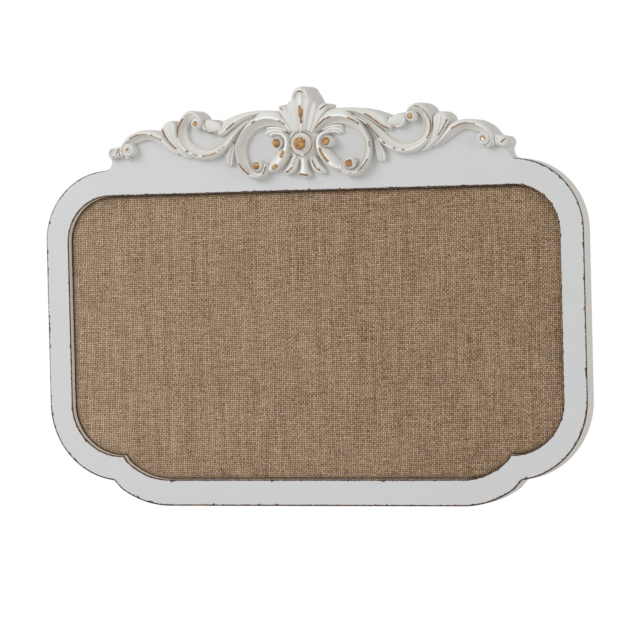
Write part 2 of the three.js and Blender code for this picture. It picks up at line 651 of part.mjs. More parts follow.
addBoard();
addPanel();
addOrnaments();
addTurnButtons();
addHangers();
addBumpers();

export default memoBoard;
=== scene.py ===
# %% [markdown]
# # A French memo board
# The board hangs on a wall. It is a painted board cut to a curved outline, with a crest of moulded scrolls
# and leaves, and a padded burlap panel that notes are pinned to. The CAD model fixes every place and size.
# This lesson gives each piece its fine surface and its finish. Drawings are in millimetres: x across, relief
# out of the board's front face, and z above the board's bottom edge.

import json
import math
from itertools import cycle

import bpy
import numpy as np
from mathutils import Matrix, Vector


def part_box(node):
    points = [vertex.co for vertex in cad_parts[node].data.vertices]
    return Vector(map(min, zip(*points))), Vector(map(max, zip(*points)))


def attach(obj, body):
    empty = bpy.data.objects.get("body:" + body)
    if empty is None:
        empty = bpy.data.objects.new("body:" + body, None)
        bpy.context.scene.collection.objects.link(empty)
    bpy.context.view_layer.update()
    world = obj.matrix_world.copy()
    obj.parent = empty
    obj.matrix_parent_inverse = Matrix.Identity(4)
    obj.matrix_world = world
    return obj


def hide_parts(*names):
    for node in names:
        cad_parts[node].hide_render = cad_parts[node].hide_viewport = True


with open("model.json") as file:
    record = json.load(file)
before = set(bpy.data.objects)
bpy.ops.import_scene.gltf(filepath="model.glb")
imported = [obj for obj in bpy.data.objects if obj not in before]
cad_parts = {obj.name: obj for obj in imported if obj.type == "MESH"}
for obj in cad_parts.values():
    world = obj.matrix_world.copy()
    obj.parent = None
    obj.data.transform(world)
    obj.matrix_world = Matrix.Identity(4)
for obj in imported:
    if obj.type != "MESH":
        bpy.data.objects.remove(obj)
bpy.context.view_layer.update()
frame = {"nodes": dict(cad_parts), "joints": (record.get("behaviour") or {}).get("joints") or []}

MM = 0.001
board_low, board_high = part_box("frame_board")
FRONT = board_low.y / MM
BOTTOM = board_low.z / MM
HALF_WIDTH = board_high.x / MM
THICKNESS = (board_high.y - board_low.y) / MM
print(f"board {2 * HALF_WIDTH:.0f} mm wide and {THICKNESS:.0f} mm thick, {len(frame['nodes'])} CAD nodes")


def place(x, relief, z):
    """Drawing to frame: (x, front face minus relief, bottom edge plus z), from millimetres to metres."""
    return np.stack(np.broadcast_arrays(x, FRONT - relief, BOTTOM + z), axis=-1) * MM


# %% [markdown]
# ## Camera
# The photograph looks at the board from its right, almost level, from far away. The angles come from fitting
# the board's outline. A long lens keeps the perspective as weak as it is there.

# %% Camera
VIEW_YAW = math.radians(22.0)
VIEW_PITCH = math.radians(-1.19)
VIEW_ROLL = math.radians(-1.39)
VIEW_DISTANCE = 4.539
VIEW_TARGET = Vector((11.8, FRONT, -202.6)) * MM
LENS_PIXELS = 4114
PICTURE_PIXELS = 640
SENSOR = 36.0
FAR_CLIP = 100

forward = Vector((
    -math.sin(VIEW_YAW) * math.cos(VIEW_PITCH),
    math.cos(VIEW_YAW) * math.cos(VIEW_PITCH),
    math.sin(VIEW_PITCH),
))
level = Vector((math.cos(VIEW_YAW), math.sin(VIEW_YAW), 0))
upright = level.cross(forward)
across = level * math.cos(VIEW_ROLL) + upright * math.sin(VIEW_ROLL)
up = upright * math.cos(VIEW_ROLL) - level * math.sin(VIEW_ROLL)
camera = bpy.data.objects.new("camera", bpy.data.cameras.new("camera"))
camera.data.sensor_width = SENSOR
camera.data.lens = LENS_PIXELS / PICTURE_PIXELS * SENSOR
camera.data.clip_end = FAR_CLIP
turn = Matrix((across, up, -forward)).transposed()
camera.matrix_world = Matrix.Translation(VIEW_TARGET - forward * VIEW_DISTANCE) @ turn.to_4x4()
bpy.context.scene.collection.objects.link(camera)
bpy.context.scene.camera = camera
print(f"camera with a {camera.data.lens:.0f} mm lens at {tuple(round(v, 2) for v in camera.location)}")

# %% [markdown]
# ## Node helper and colours
# Every material below is a small graph of nodes. One function adds any node, sets its properties and fills
# its inputs with values or with links. Colours are written as they look on a screen and turned to linear
# light. Noise rarely leaves the range from 0.3 to 0.7, so most ramps start and end there.

# %% Node helper
NOISE_LOW = 0.3
NOISE_HIGH = 0.7


def add_node(tree, kind, inputs=None, **settings):
    """Adds a shader node, sets its properties, and fills inputs by name or number with values or sockets."""
    made = tree.nodes.new("ShaderNode" + kind)
    for key, value in settings.items():
        setattr(made, key, value)
    for key, value in (inputs or {}).items():
        if isinstance(value, bpy.types.NodeSocket):
            tree.links.new(value, made.inputs[key])
        else:
            made.inputs[key].default_value = value
    return made


def linear(hex_colour):
    """sRGB hex to linear RGBA: c / 12.92 below 0.04045, else ((c + 0.055) / 1.055) to the power 2.4."""
    srgb = np.array([int(hex_colour[i:i + 2], 16) for i in (1, 3, 5)]) / 255
    light = np.where(srgb <= 0.04045, srgb / 12.92, ((srgb + 0.055) / 1.055) ** 2.4)
    return (*light.tolist(), 1.0)


def new_material(name):
    """A material and its node tree, which is still empty."""
    material = bpy.data.materials.new(name)
    material.use_nodes = True
    material.node_tree.nodes.clear()
    return material, material.node_tree


# %% [markdown]
# ## Studio
# The picture has a plain white ground and soft light from the upper left. A hung board has nothing under it,
# so the pale floor lies where a room's floor would be, below the picture. The world is white where the camera
# or a reflection sees it, and dimmer as a light, so the ground is white and the paint doesn't clip.

# %% Studio
HOOK_HEIGHT = 1.5
FLOOR_RADIUS = 4.0
FLOOR_POINTS = 64
AMBIENT = 0.5
KEY_WATTS = 43
KEY_PLACE = Vector((-1.7, -2.1, 1.2))
KEY_SIZE = 1.9
FILL_WATTS = 19
FILL_PLACE = Vector((3.0, -1.4, 0.5))
FILL_SIZE = 1.6

world = bpy.data.worlds.new("studio")
bpy.context.scene.world = world
world.use_nodes = True
sky = world.node_tree
sky.nodes.clear()
rays = add_node(sky, "LightPath")
seen = add_node(sky, "Math", {0: rays.outputs["Is Camera Ray"], 1: rays.outputs["Is Glossy Ray"]},
                operation="MAXIMUM")
seen = add_node(sky, "Math", {0: seen.outputs[0], 1: rays.outputs["Is Transmission Ray"]},
                operation="MAXIMUM")
lit = add_node(sky, "Background", {"Color": linear("#ffffff"), "Strength": AMBIENT})
ground = add_node(sky, "Background", {"Color": linear("#ffffff"), "Strength": 1.0})
mixed = add_node(sky, "MixShader", {0: seen.outputs[0], 1: lit.outputs[0], 2: ground.outputs[0]})
add_node(sky, "OutputWorld", {"Surface": mixed.outputs[0]})


def add_softbox(name, watts, size, spot):
    """Square area lamp that faces the middle of the board."""
    lamp = bpy.data.lights.new(name, "AREA")
    lamp.energy = watts
    lamp.size = size
    obj = bpy.data.objects.new(name, lamp)
    aim = (VIEW_TARGET - spot).to_track_quat("-Z", "Y")
    obj.matrix_world = Matrix.Translation(spot) @ aim.to_matrix().to_4x4()
    bpy.context.scene.collection.objects.link(obj)


add_softbox("key_light", KEY_WATTS, KEY_SIZE, KEY_PLACE)
add_softbox("fill_light", FILL_WATTS, FILL_SIZE, FILL_PLACE)


def full_turn(count):
    """Evenly spaced angles once round a circle, in radians."""
    return np.linspace(0, 2 * np.pi, count, endpoint=False)


angles = full_turn(FLOOR_POINTS)
floor_ring = np.stack([
    FLOOR_RADIUS * np.cos(angles), FLOOR_RADIUS * np.sin(angles), np.full(FLOOR_POINTS, -HOOK_HEIGHT)], 1)
floor_mesh = bpy.data.meshes.new("floor")
floor_mesh.from_pydata(floor_ring.tolist(), [], [list(range(FLOOR_POINTS))])
floor = bpy.data.objects.new("floor", floor_mesh)
bpy.context.scene.collection.objects.link(floor)
pale, pale_tree = new_material("pale floor paint")
pale_shader = add_node(pale_tree, "BsdfDiffuse", {"Color": linear("#f2f2f2")})
add_node(pale_tree, "OutputMaterial", {"Surface": pale_shader.outputs[0]})
floor_mesh.materials.append(pale)
bpy.context.scene.view_settings.view_transform = "Standard"
print(f"studio: world, two lamps and a floor {HOOK_HEIGHT} m below the hooks")

# %% [markdown]
# ## Shapes from arrays
# Every new piece is a skin of points worked out with numpy. A profile is carried along a path, ring after
# ring, and neighbouring rings are joined by quads. The helpers below smooth a few chosen rows into a curve,
# measure along it, and close a stack of rings into a skin.

# %% Curves and skins
def catmull(rows, count):
    """Smooth curve through rows: a uniform Catmull-Rom cubic with the end rows mirrored outwards."""
    rows = np.asarray(rows, float)
    padded = np.vstack([2 * rows[0] - rows[1], rows, 2 * rows[-1] - rows[-2]])
    t = np.linspace(0, len(rows) - 1, count)
    i = np.minimum(t.astype(int), len(rows) - 2)
    s = (t - i)[:, None]
    a, b, c, d = (padded[i + k] for k in range(4))
    return 0.5 * (2 * b + (c - a) * s + (2 * a - 5 * b + 4 * c - d) * s**2 + (3 * b - a - 3 * c + d) * s**3)


def arc(x, z, radius, start, end, count):
    """Points of a circular arc about (x, z), angles in degrees, both ends included."""
    angle = np.radians(np.linspace(start, end, count))
    return np.stack([x + radius * np.cos(angle), z + radius * np.sin(angle)], 1)


def straight(a, b, count):
    """Points of a straight line from a to b, both ends included."""
    return np.asarray(a) + np.linspace(0, 1, count)[:, None] * (np.asarray(b) - np.asarray(a))


def run_length(line):
    """Length along a line up to each of its points: the running sum of the distances between neighbours."""
    return np.concatenate([[0], np.cumsum(np.linalg.norm(np.diff(line, axis=0), axis=1))])


def right_of(chords):
    """Unit normals to the right of chords: (dx, dz) is turned to (dz, -dx) and divided by its length."""
    return np.stack([chords[:, 1], -chords[:, 0]], 1) / np.linalg.norm(chords, axis=1)[:, None]


def stack_rings(rings):
    """Rings of (outline, relief) as one array of places, sized rings by points by 3."""
    return np.stack([place(outline[:, 0], relief, outline[:, 1]) for outline, relief in rings])


def band(lower, upper):
    """Quads between two rings of point numbers, or between two stacks of rings."""
    return np.stack([lower, np.roll(lower, -1, -1), np.roll(upper, -1, -1), upper], -1).reshape(-1, 4)


def facing_out(points, quads, caps):
    """The closed skin with its faces turned outwards: its volume, a sum of tetrahedra, is then positive."""
    triangles = np.concatenate([quads[:, [0, 1, 2]], quads[:, [0, 2, 3]]] + [
        np.stack([np.full(len(cap) - 2, cap[0]), cap[1:-1], cap[2:]], 1) for cap in caps])
    a, b, c = (points[triangles[:, k]] - points.mean(0) for k in range(3))
    if np.einsum("ij,ij", a, np.cross(b, c)) < 0:
        quads = quads[:, ::-1]
        caps = [cap[::-1] for cap in caps]
    return points, quads, caps


def skin(rings, loop=False):
    """Closed skin through a stack of closed rings, whose ends get caps or, in a loop, meet each other."""
    count, around, _ = rings.shape
    index = np.arange(count * around).reshape(count, around)
    upper = np.roll(index, -1, axis=0) if loop else index[1:]
    quads = band(index if loop else index[:-1], upper)
    caps = [] if loop else [index[0][::-1], index[-1]]
    return facing_out(rings.reshape(-1, 3), quads, caps)


# %% [markdown]
# ### Meshes that ride on the CAD
# A piece is one mesh of one or more skins. It takes over from its CAD nodes, moves with their body, and gets
# a finish. Numbers stored at its points let a material know where it is worn, and where light and shade are
# painted on it.

# %% Meshes and pieces
def build_mesh(name, skins, sharp_angle=50):
    """One mesh of several skins (points, quads, caps), smooth apart from edges over the sharp angle."""
    starts = np.cumsum([0] + [len(points) for points, _, _ in skins])
    corners = []
    sizes = []
    for start, (_, quads, caps) in zip(starts, skins):
        corners.append(quads.ravel() + start)
        sizes.append(np.full(len(quads), 4))
        corners.extend(cap + start for cap in caps)
        sizes.append(np.array([len(cap) for cap in caps], int))
    corners = np.concatenate(corners).astype(np.int32)
    sizes = np.concatenate(sizes)
    mesh = bpy.data.meshes.new(name)
    points = np.concatenate([points for points, _, _ in skins])
    mesh.vertices.add(len(points))
    mesh.vertices.foreach_set("co", points.astype(np.float32).ravel())
    mesh.loops.add(len(corners))
    mesh.loops.foreach_set("vertex_index", corners)
    mesh.polygons.add(len(sizes))
    mesh.polygons.foreach_set("loop_start", (np.cumsum(sizes) - sizes).astype(np.int32))
    mesh.update(calc_edges=True)
    mesh.shade_smooth()
    mesh.set_sharp_from_angle(angle=math.radians(sharp_angle))
    return mesh


def add_piece(name, mesh, finish, stands_for=(), body="board"):
    """Puts a mesh in the scene at the origin, with its finish and body, in place of its CAD nodes."""
    obj = bpy.data.objects.new(name, mesh)
    bpy.context.scene.collection.objects.link(obj)
    mesh.materials.append(finish)
    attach(obj, body)
    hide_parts(*stands_for)
    return obj


def add_attribute(mesh, name, values):
    """Stores one number per point under a name that a material can read."""
    mesh.attributes.new(name, "FLOAT", "POINT").data.foreach_set("value", values.astype(np.float32).ravel())


# %% [markdown]
# ## Outlines
# The board and the opening share their centres: a foot arc and a hip arc meet in a stepped kink at each lower
# corner, and the upper corners are round. The board's top follows the crest. Both outlines get the same
# number of points on the same stretches, so that a skin can run from one to the other.

# %% Sizes of the outlines
STILE = 27.5
BOTTOM_RAIL = 28.5
OPENING_HEIGHT = 322
SHOULDER_ABOVE_OPENING = 27
CREST_ABOVE_OPENING = 49.5
CORNER_RADIUS = 79
HIP_RADIUS = 87
HIP_HEIGHT = 115
FOOT_RADIUS = 103.5
FOOT_HALF_SPAN = 174.5
KINK_FILLET = 0.5
FOOT_CUT = 15
HIP_RUN = 3.3
OPENING_STEP = 0.6
LIP_TOP = 2.2
LIP_BOTTOM = 1.2
LIP_FADE = 7
CREST_HALF_SPAN = 236
NOTCH_FILLET = 9.5
TOP_EVEN_SHARE = 0.15
OPENING_TOP = BOTTOM_RAIL + OPENING_HEIGHT
SHOULDER_TOP = OPENING_TOP + SHOULDER_ABOVE_OPENING
CREST_LINE = OPENING_TOP + CREST_ABOVE_OPENING
CORNER_X = HALF_WIDTH - CORNER_RADIUS
CORNER_Z = SHOULDER_TOP - CORNER_RADIUS
NOTCH_X = CREST_HALF_SPAN + NOTCH_FILLET
NOTCH_REACH = max(0, NOTCH_X - CORNER_X)

# Points on each stretch: bottom, foot arc, kink, hip arc, side, corner, and the run along the crest
STRETCH = {"bottom": 12, "foot": 50, "kink": 10, "hip": 80, "side": 12, "corner": 60, "notch": 8, "arc": 12}

# Top of the board from the crest's end to the middle: arcs through three points about the crest line
CREST_CONTOUR = [
    [(CREST_HALF_SPAN, -10), (238, -4), (233.5, 1.8)],
    [(233.5, 1.8), (228, 2.7), (223, 4.2)],
    [(223, 4.2), (212.8, 15), (192, 21.3)],
    [(192, 21.3), (181, 20.6), (171.5, 18)],
    [(171.5, 18), (166.9, 28.6), (160, 31)],
    [(160, 31), (155.5, 28.6), (152.2, 23.5)],
    [(152.2, 23.5), (146.8, 36.2), (136.2, 41.1)],
    [(136.2, 41.1), (125.4, 36.8), (121.2, 30.2)],
    [(121.2, 30.2), (117, 31), (113, 30.6)],
    [(113, 30.6), (108.2, 29.3), (103.3, 25.8)],
    [(103.3, 25.8), (80, 35), (50, 38.6)],
    [(50, 38.6), (39, 38), (28.5, 36)],
    [(28.5, 36), (28.8, 39.5), (28, 43)],
    [(28, 43), (22, 44.3), (16, 44.2)],
    [(16, 44.2), (13.4, 50.3), (8.8, 57.3)],
    [(8.8, 57.3), (5.4, 62), (0, 63.5)],
]
print(f"opening {2 * (HALF_WIDTH - STILE):.0f} x {OPENING_HEIGHT} mm, crest line {CREST_LINE:.0f} mm up")

# %% [markdown]
# ### From sizes to points
# An outline could be drawn as a curve object, but here every ring of the board needs its points in the same
# order. So each stretch is an array of points: a straight line, an arc, or an arc through three points.

# %% Outlines
def lower_half(rail, stile, step):
    """Right half below the side: bottom line, foot arc, a short straight step in the kink, hip arc.

    The hip arc runs on past the kink by its run, and the foot arc ends early by its cut, both times the step.
    """
    foot = np.array([FOOT_HALF_SPAN, FOOT_RADIUS])
    hip = np.array([HALF_WIDTH - HIP_RADIUS, HIP_HEIGHT])
    foot_r = FOOT_RADIUS - rail
    hip_r = HIP_RADIUS - stile
    gap = np.linalg.norm(hip - foot)
    along = ((foot_r + KINK_FILLET) ** 2 - (hip_r + KINK_FILLET) ** 2 + gap**2) / (2 * gap)
    unit = (hip - foot) / gap
    below = np.array([unit[1], -unit[0]])
    kink = foot + unit * along + below * math.sqrt((foot_r + KINK_FILLET) ** 2 - along**2)

    def heading(a, b):
        return math.degrees(math.atan2(b[1] - a[1], b[0] - a[0]))

    foot_end = heading(foot, kink) - math.degrees(step * FOOT_CUT / foot_r)
    hip_start = heading(hip, kink) - math.degrees(step * HIP_RUN / hip_r)
    foot_arc = arc(*foot, foot_r, -90, foot_end, STRETCH["foot"])
    hip_arc = arc(*hip, hip_r, hip_start, 0, STRETCH["hip"])
    return [straight((0, rail), (FOOT_HALF_SPAN, rail), STRETCH["bottom"]), foot_arc,
            straight(foot_arc[-1], hip_arc[0], STRETCH["kink"]), hip_arc]


def whole(stretches):
    """Closed outline from the stretches of its right half, counter-clockwise seen from the front."""
    right = np.concatenate([s[:-1] for s in stretches] + [stretches[-1][-1:]])
    left = right[-2:0:-1] * [-1, 1]
    return np.concatenate([right, left])


def arc_through(p, q, r, count):
    """Points of the circle arc from p through q to r; the centre is equally far from all three."""
    p, q, r = (np.asarray(v, float) for v in (p, q, r))
    centre = np.linalg.solve(2 * np.array([q - p, r - p]), np.array([q @ q - p @ p, r @ r - p @ p]))
    start, end = (math.atan2(*(v - centre)[::-1]) for v in (p, r))
    way = np.sign(np.cross(q - p, r - p))
    end = start + (way * (end - start)) % (2 * math.pi) * way
    return arc(*centre, np.linalg.norm(p - centre), math.degrees(start), math.degrees(end), count)


def crest_run():
    """The board's edge from the notch beside the crest to the middle of its top."""
    ledge = CORNER_Z + math.sqrt(CORNER_RADIUS**2 - NOTCH_REACH**2)
    run = [arc(NOTCH_X, ledge + NOTCH_FILLET, NOTCH_FILLET, -90, -180, STRETCH["notch"])]
    for number, three in enumerate(CREST_CONTOUR):
        points = arc_through(*(np.array(v) + (0, CREST_LINE) for v in three), STRETCH["arc"])
        run.append(points[1:] if number else points)
    run = np.concatenate(run)
    run[-1, 0] = 0
    return run


def board_outline():
    """The board's outer edge."""
    end = math.degrees(math.acos(NOTCH_REACH / CORNER_RADIUS))
    return whole(lower_half(0, 0, 1) + [
        straight((HALF_WIDTH, HIP_HEIGHT), (HALF_WIDTH, CORNER_Z), STRETCH["side"]),
        arc(CORNER_X, CORNER_Z, CORNER_RADIUS, 0, end, STRETCH["corner"]),
        crest_run(),
    ])


def opening_outline(grow):
    """The opening's edge, moved outwards by grow; its top is spread to lie under the points of the crest run.

    The lip covers a little more of the cloth at the top and bottom than the rebate behind it.
    """
    radius = CORNER_RADIUS - STILE
    run = crest_run()
    gone = run_length(run)
    below = np.minimum.accumulate(run[:, 0]) / run[0, 0]
    share = (1 - TOP_EVEN_SHARE) * below + TOP_EVEN_SHARE * (1 - gone / gone[-1])
    top = np.stack([CORNER_X * share, np.full(len(run), OPENING_TOP + grow)], 1)
    side_x = HALF_WIDTH - STILE + grow
    lip = min(1, max(0, 1 - grow / LIP_FADE))
    line = whole(lower_half(BOTTOM_RAIL - grow, STILE - grow, OPENING_STEP * lip) + [
        straight((side_x, HIP_HEIGHT), (side_x, OPENING_TOP - radius), STRETCH["side"]),
        arc(CORNER_X, OPENING_TOP - radius, radius + grow, 0, 90, STRETCH["corner"]),
        top,
    ])
    shift = np.interp(line[:, 1], [BOTTOM_RAIL, HIP_HEIGHT, OPENING_TOP], [LIP_BOTTOM, 0, -LIP_TOP])
    return line + np.stack([0 * shift, lip * shift], 1)


print(f"board outline {len(board_outline())} points, opening outline {len(opening_outline(0))} points")

# %% [markdown]
# ## Chalk paint on fibreboard
# The board is medium-density fibreboard with a brown first coat and white chalk paint over it, rubbed
# through along the edges. The eye gets a matt white with faint clouds, and a thin broken brown line on every
# front edge with small chips that reach into the face. A mask painted by hand would have to be redone with
# every change of the outline. So each point of the board carries its distance from the nearest front edge,
# and noise decides how far the wear reaches there. The walls are painted a lighter, warmer white than the
# faces, as painted light: it brightens the walls, which get less light, and warms them as light bounced off
# the burlap would. So each point also carries how much it belongs to a wall.

# %% Board finishes
CLOUD_MM = 70
CHIP_MM = 7
CHIP_START = 0.54
CHIP_FULL = 0.8
CHIP_REACH = 2.2
RAGGED_MM = 1.1
RAGGED_LEAST = 0.45
RAGGED_MOST = 1.0
WEAR_FADE = 0.25
GRAIN_MM = 5
GRAIN_DARK = 0.36
BRUSH_MM = 2.5
BRUSH_DEPTH = 0.15


def set_shades(ramp, low, high, shades):
    """Gives a colour ramp its shades, spread evenly from low to high."""
    elements = ramp.color_ramp.elements
    for _ in shades[2:]:
        elements.new(1.0)
    for element, position, shade in zip(elements, np.linspace(low, high, len(shades)), shades):
        element.position = position
        element.color = linear(shade)


def worn_colour(tree, coordinates, shades):
    """Bare colours under the paint, from dark to light as the grain goes."""
    grain = add_node(tree, "TexNoise", {"Vector": coordinates, "Scale": 1 / (GRAIN_MM * MM), "Detail": 4.0})
    ramp = add_node(tree, "ValToRGB", {"Fac": grain.outputs["Fac"]})
    set_shades(ramp, GRAIN_DARK, NOISE_HIGH, shades)
    return ramp.outputs["Color"]


def chalk_paint_board():
    """Chalk paint: matt, IOR 1.5. Bare where edge distance < raggedness times (1 + chip), in millimetres."""
    material, tree = new_material("chalk paint on fibreboard")
    coordinates = add_node(tree, "TexCoord").outputs["Object"]
    edge = add_node(tree, "Attribute", attribute_name="edge").outputs["Fac"]
    chips = add_node(tree, "TexNoise", {"Vector": coordinates, "Scale": 1 / (CHIP_MM * MM), "Detail": 3.0})
    ragged = add_node(tree, "TexNoise",
                      {"Vector": coordinates, "Scale": 1 / (RAGGED_MM * MM), "Detail": 3.0})
    reach = add_node(tree, "MapRange", {
        "Value": chips.outputs["Fac"], "From Min": CHIP_START, "From Max": CHIP_FULL,
        "To Min": 0.0, "To Max": CHIP_REACH})
    rough_edge = add_node(tree, "MapRange", {
        "Value": ragged.outputs["Fac"], "From Min": NOISE_LOW, "From Max": NOISE_HIGH,
        "To Min": RAGGED_LEAST, "To Max": RAGGED_MOST})
    limit = add_node(tree, "Math", {0: reach.outputs[0], 1: rough_edge.outputs[0]}, operation="MULTIPLY")
    limit = add_node(tree, "Math", {0: limit.outputs[0], 1: rough_edge.outputs[0]}, operation="ADD")
    past = add_node(tree, "Math", {0: limit.outputs[0], 1: edge}, operation="SUBTRACT")
    worn = add_node(tree, "MapRange", {"Value": past.outputs[0], "From Min": 0.0, "From Max": WEAR_FADE})
    clouds = add_node(tree, "TexNoise", {"Vector": coordinates, "Scale": 1 / (CLOUD_MM * MM), "Detail": 3.0})
    face = add_node(tree, "Mix", {
        "Factor": clouds.outputs["Fac"], "A": linear("#d2d2d2"), "B": linear("#d7d8d8")}, data_type="RGBA")
    wall = add_node(tree, "Attribute", attribute_name="wall").outputs["Fac"]
    # Painted light: walls are mixed towards a lighter, warmer white, for the light they miss and the warm
    # light the burlap bounces onto them.
    paint = add_node(tree, "Mix", {
        "Factor": wall, "A": face.outputs["Result"], "B": linear("#ede5da")}, data_type="RGBA")
    bare = worn_colour(tree, coordinates, ("#2c1d18", "#452f26", "#644634", "#8a6541"))
    colour = add_node(tree, "Mix", {
        "Factor": worn.outputs[0], "A": paint.outputs["Result"], "B": bare}, data_type="RGBA")
    brush = add_node(tree, "TexNoise", {"Vector": coordinates, "Scale": 1 / (BRUSH_MM * MM), "Detail": 2.0})
    height = add_node(tree, "Math", {0: brush.outputs["Fac"], 1: worn.outputs[0]}, operation="SUBTRACT")
    bump = add_node(tree, "Bump", {
        "Strength": 0.25, "Distance": BRUSH_DEPTH * MM, "Height": height.outputs[0]})
    shader = add_node(tree, "BsdfPrincipled", {
        "Base Color": colour.outputs["Result"], "Roughness": 0.62, "IOR": 1.5, "Specular IOR Level": 0.35,
        "Normal": bump.outputs[0]})
    add_node(tree, "OutputMaterial", {"Surface": shader.outputs[0]})
    return material


FIBRE_CLOUD_MM = 45
FIBRE_CLOUDS = 0.3
FIBRE_DARK = 0.45
FIBRE_LIGHT = 0.85
FIBRE_DEPTH = 0.2


def raw_fibreboard(name, light, dark, fibre_mm):
    """Sawn fibreboard: dull, fibres a few tenths of a millimetre wide drawn coarser so that they show."""
    material, tree = new_material(name)
    coordinates = add_node(tree, "TexCoord").outputs["Object"]
    fibres = add_node(tree, "TexNoise",
                      {"Vector": coordinates, "Scale": 1 / (fibre_mm * MM), "Detail": 6.0, "Roughness": 0.7})
    clouds = add_node(tree, "TexNoise", {
        "Vector": coordinates, "Scale": 1 / (FIBRE_CLOUD_MM * MM), "Detail": 3.0})
    blend = add_node(tree, "Math", {
        0: clouds.outputs["Fac"], 1: FIBRE_CLOUDS, 2: fibres.outputs["Fac"]}, operation="MULTIPLY_ADD")
    share = add_node(tree, "MapRange", {
        "Value": blend.outputs[0], "From Min": FIBRE_DARK, "From Max": FIBRE_LIGHT})
    colour = add_node(tree, "Mix", {
        "Factor": share.outputs[0], "A": linear(dark), "B": linear(light)}, data_type="RGBA")
    bump = add_node(tree, "Bump", {
        "Strength": 0.3, "Distance": FIBRE_DEPTH * MM, "Height": fibres.outputs["Fac"]})
    shader = add_node(tree, "BsdfPrincipled", {
        "Base Color": colour.outputs["Result"], "Roughness": 0.88, "IOR": 1.5, "Specular IOR Level": 0.2,
        "Normal": bump.outputs[0]})
    add_node(tree, "OutputMaterial", {"Surface": shader.outputs[0]})
    return material


board_paint = chalk_paint_board()
board_back = raw_fibreboard("raw medium-density fibreboard", "#cdb18b", "#ac8c65", 1.2)
print("board finishes:", board_paint.name, "and", board_back.name)

# %% [markdown]
# ## Frame board
# The CAD board has flat facets along its curves. An extruded outline with a bevel would be smooth, but its
# points wouldn't know how far the edge is. So this one is a single closed skin. Rings run from the front
# face over a rounded edge and down the outer wall, others from the back up the rebate and the inner wall to
# the front face. Front and back are flat, so each is two large faces, a right and a left half. Rings lie
# close together near the front edges, so that the distance to the edge is read well there. The lowest strip
# of the inner wall is painted bare brown as painted shadow, the shade in the gap between lip and cloth, and
# the edges low on the board are rubbed more than the others. Along the crest the ornaments cover the edge,
# and the rings move in less, so none can cross.

# %% Frame board
LIP = 11
REBATE = 8
ARRIS = 0.7
LIP_CHAMFER = 1.5
UNWORN = 9
WALL_WEAR = 3.5
# Painted shadow at the foot of the inner wall: how far its edge distance goes below zero, and along how much
# wall.
LIP_SHADOW_STRIP = 0.8
LIP_SHADOW_STRIP_RUN = 2.2
FOOT_WEAR = 0.15
INNER_SPARING = 0.1
OUTER_SPARING = 0.35
OUTER_FACE_WEAR = 0.65
# Share of the painted wall light on the outer walls; the inner walls get all of it.
OUTER_WALL_PAINTED_LIGHT = 0.45
FACE_INSETS = [6, 4.2, 2.8, 1.6, ARRIS]
WALL_DEPTHS = [1.4, 2.2, 3.2, 4.5]
CREST_INSET_SHARE = 0.15
EASING_POINTS = 6


def inward_offsets(outline):
    """Unit normals into the board, square to the chord between neighbours, and shorter along the crest."""
    normal = -right_of(np.roll(outline, -1, 0) - np.roll(outline, 1, 0))
    on_crest = (np.abs(outline[:, 0]) < NOTCH_X) & (outline[:, 1] > OPENING_TOP)
    share = np.where(on_crest, CREST_INSET_SHARE, 1)
    span = 2 * EASING_POINTS + 1
    eased = np.convolve(np.pad(share, EASING_POINTS, "wrap"), np.full(span, 1 / span), "valid")
    return normal * eased[:, None]


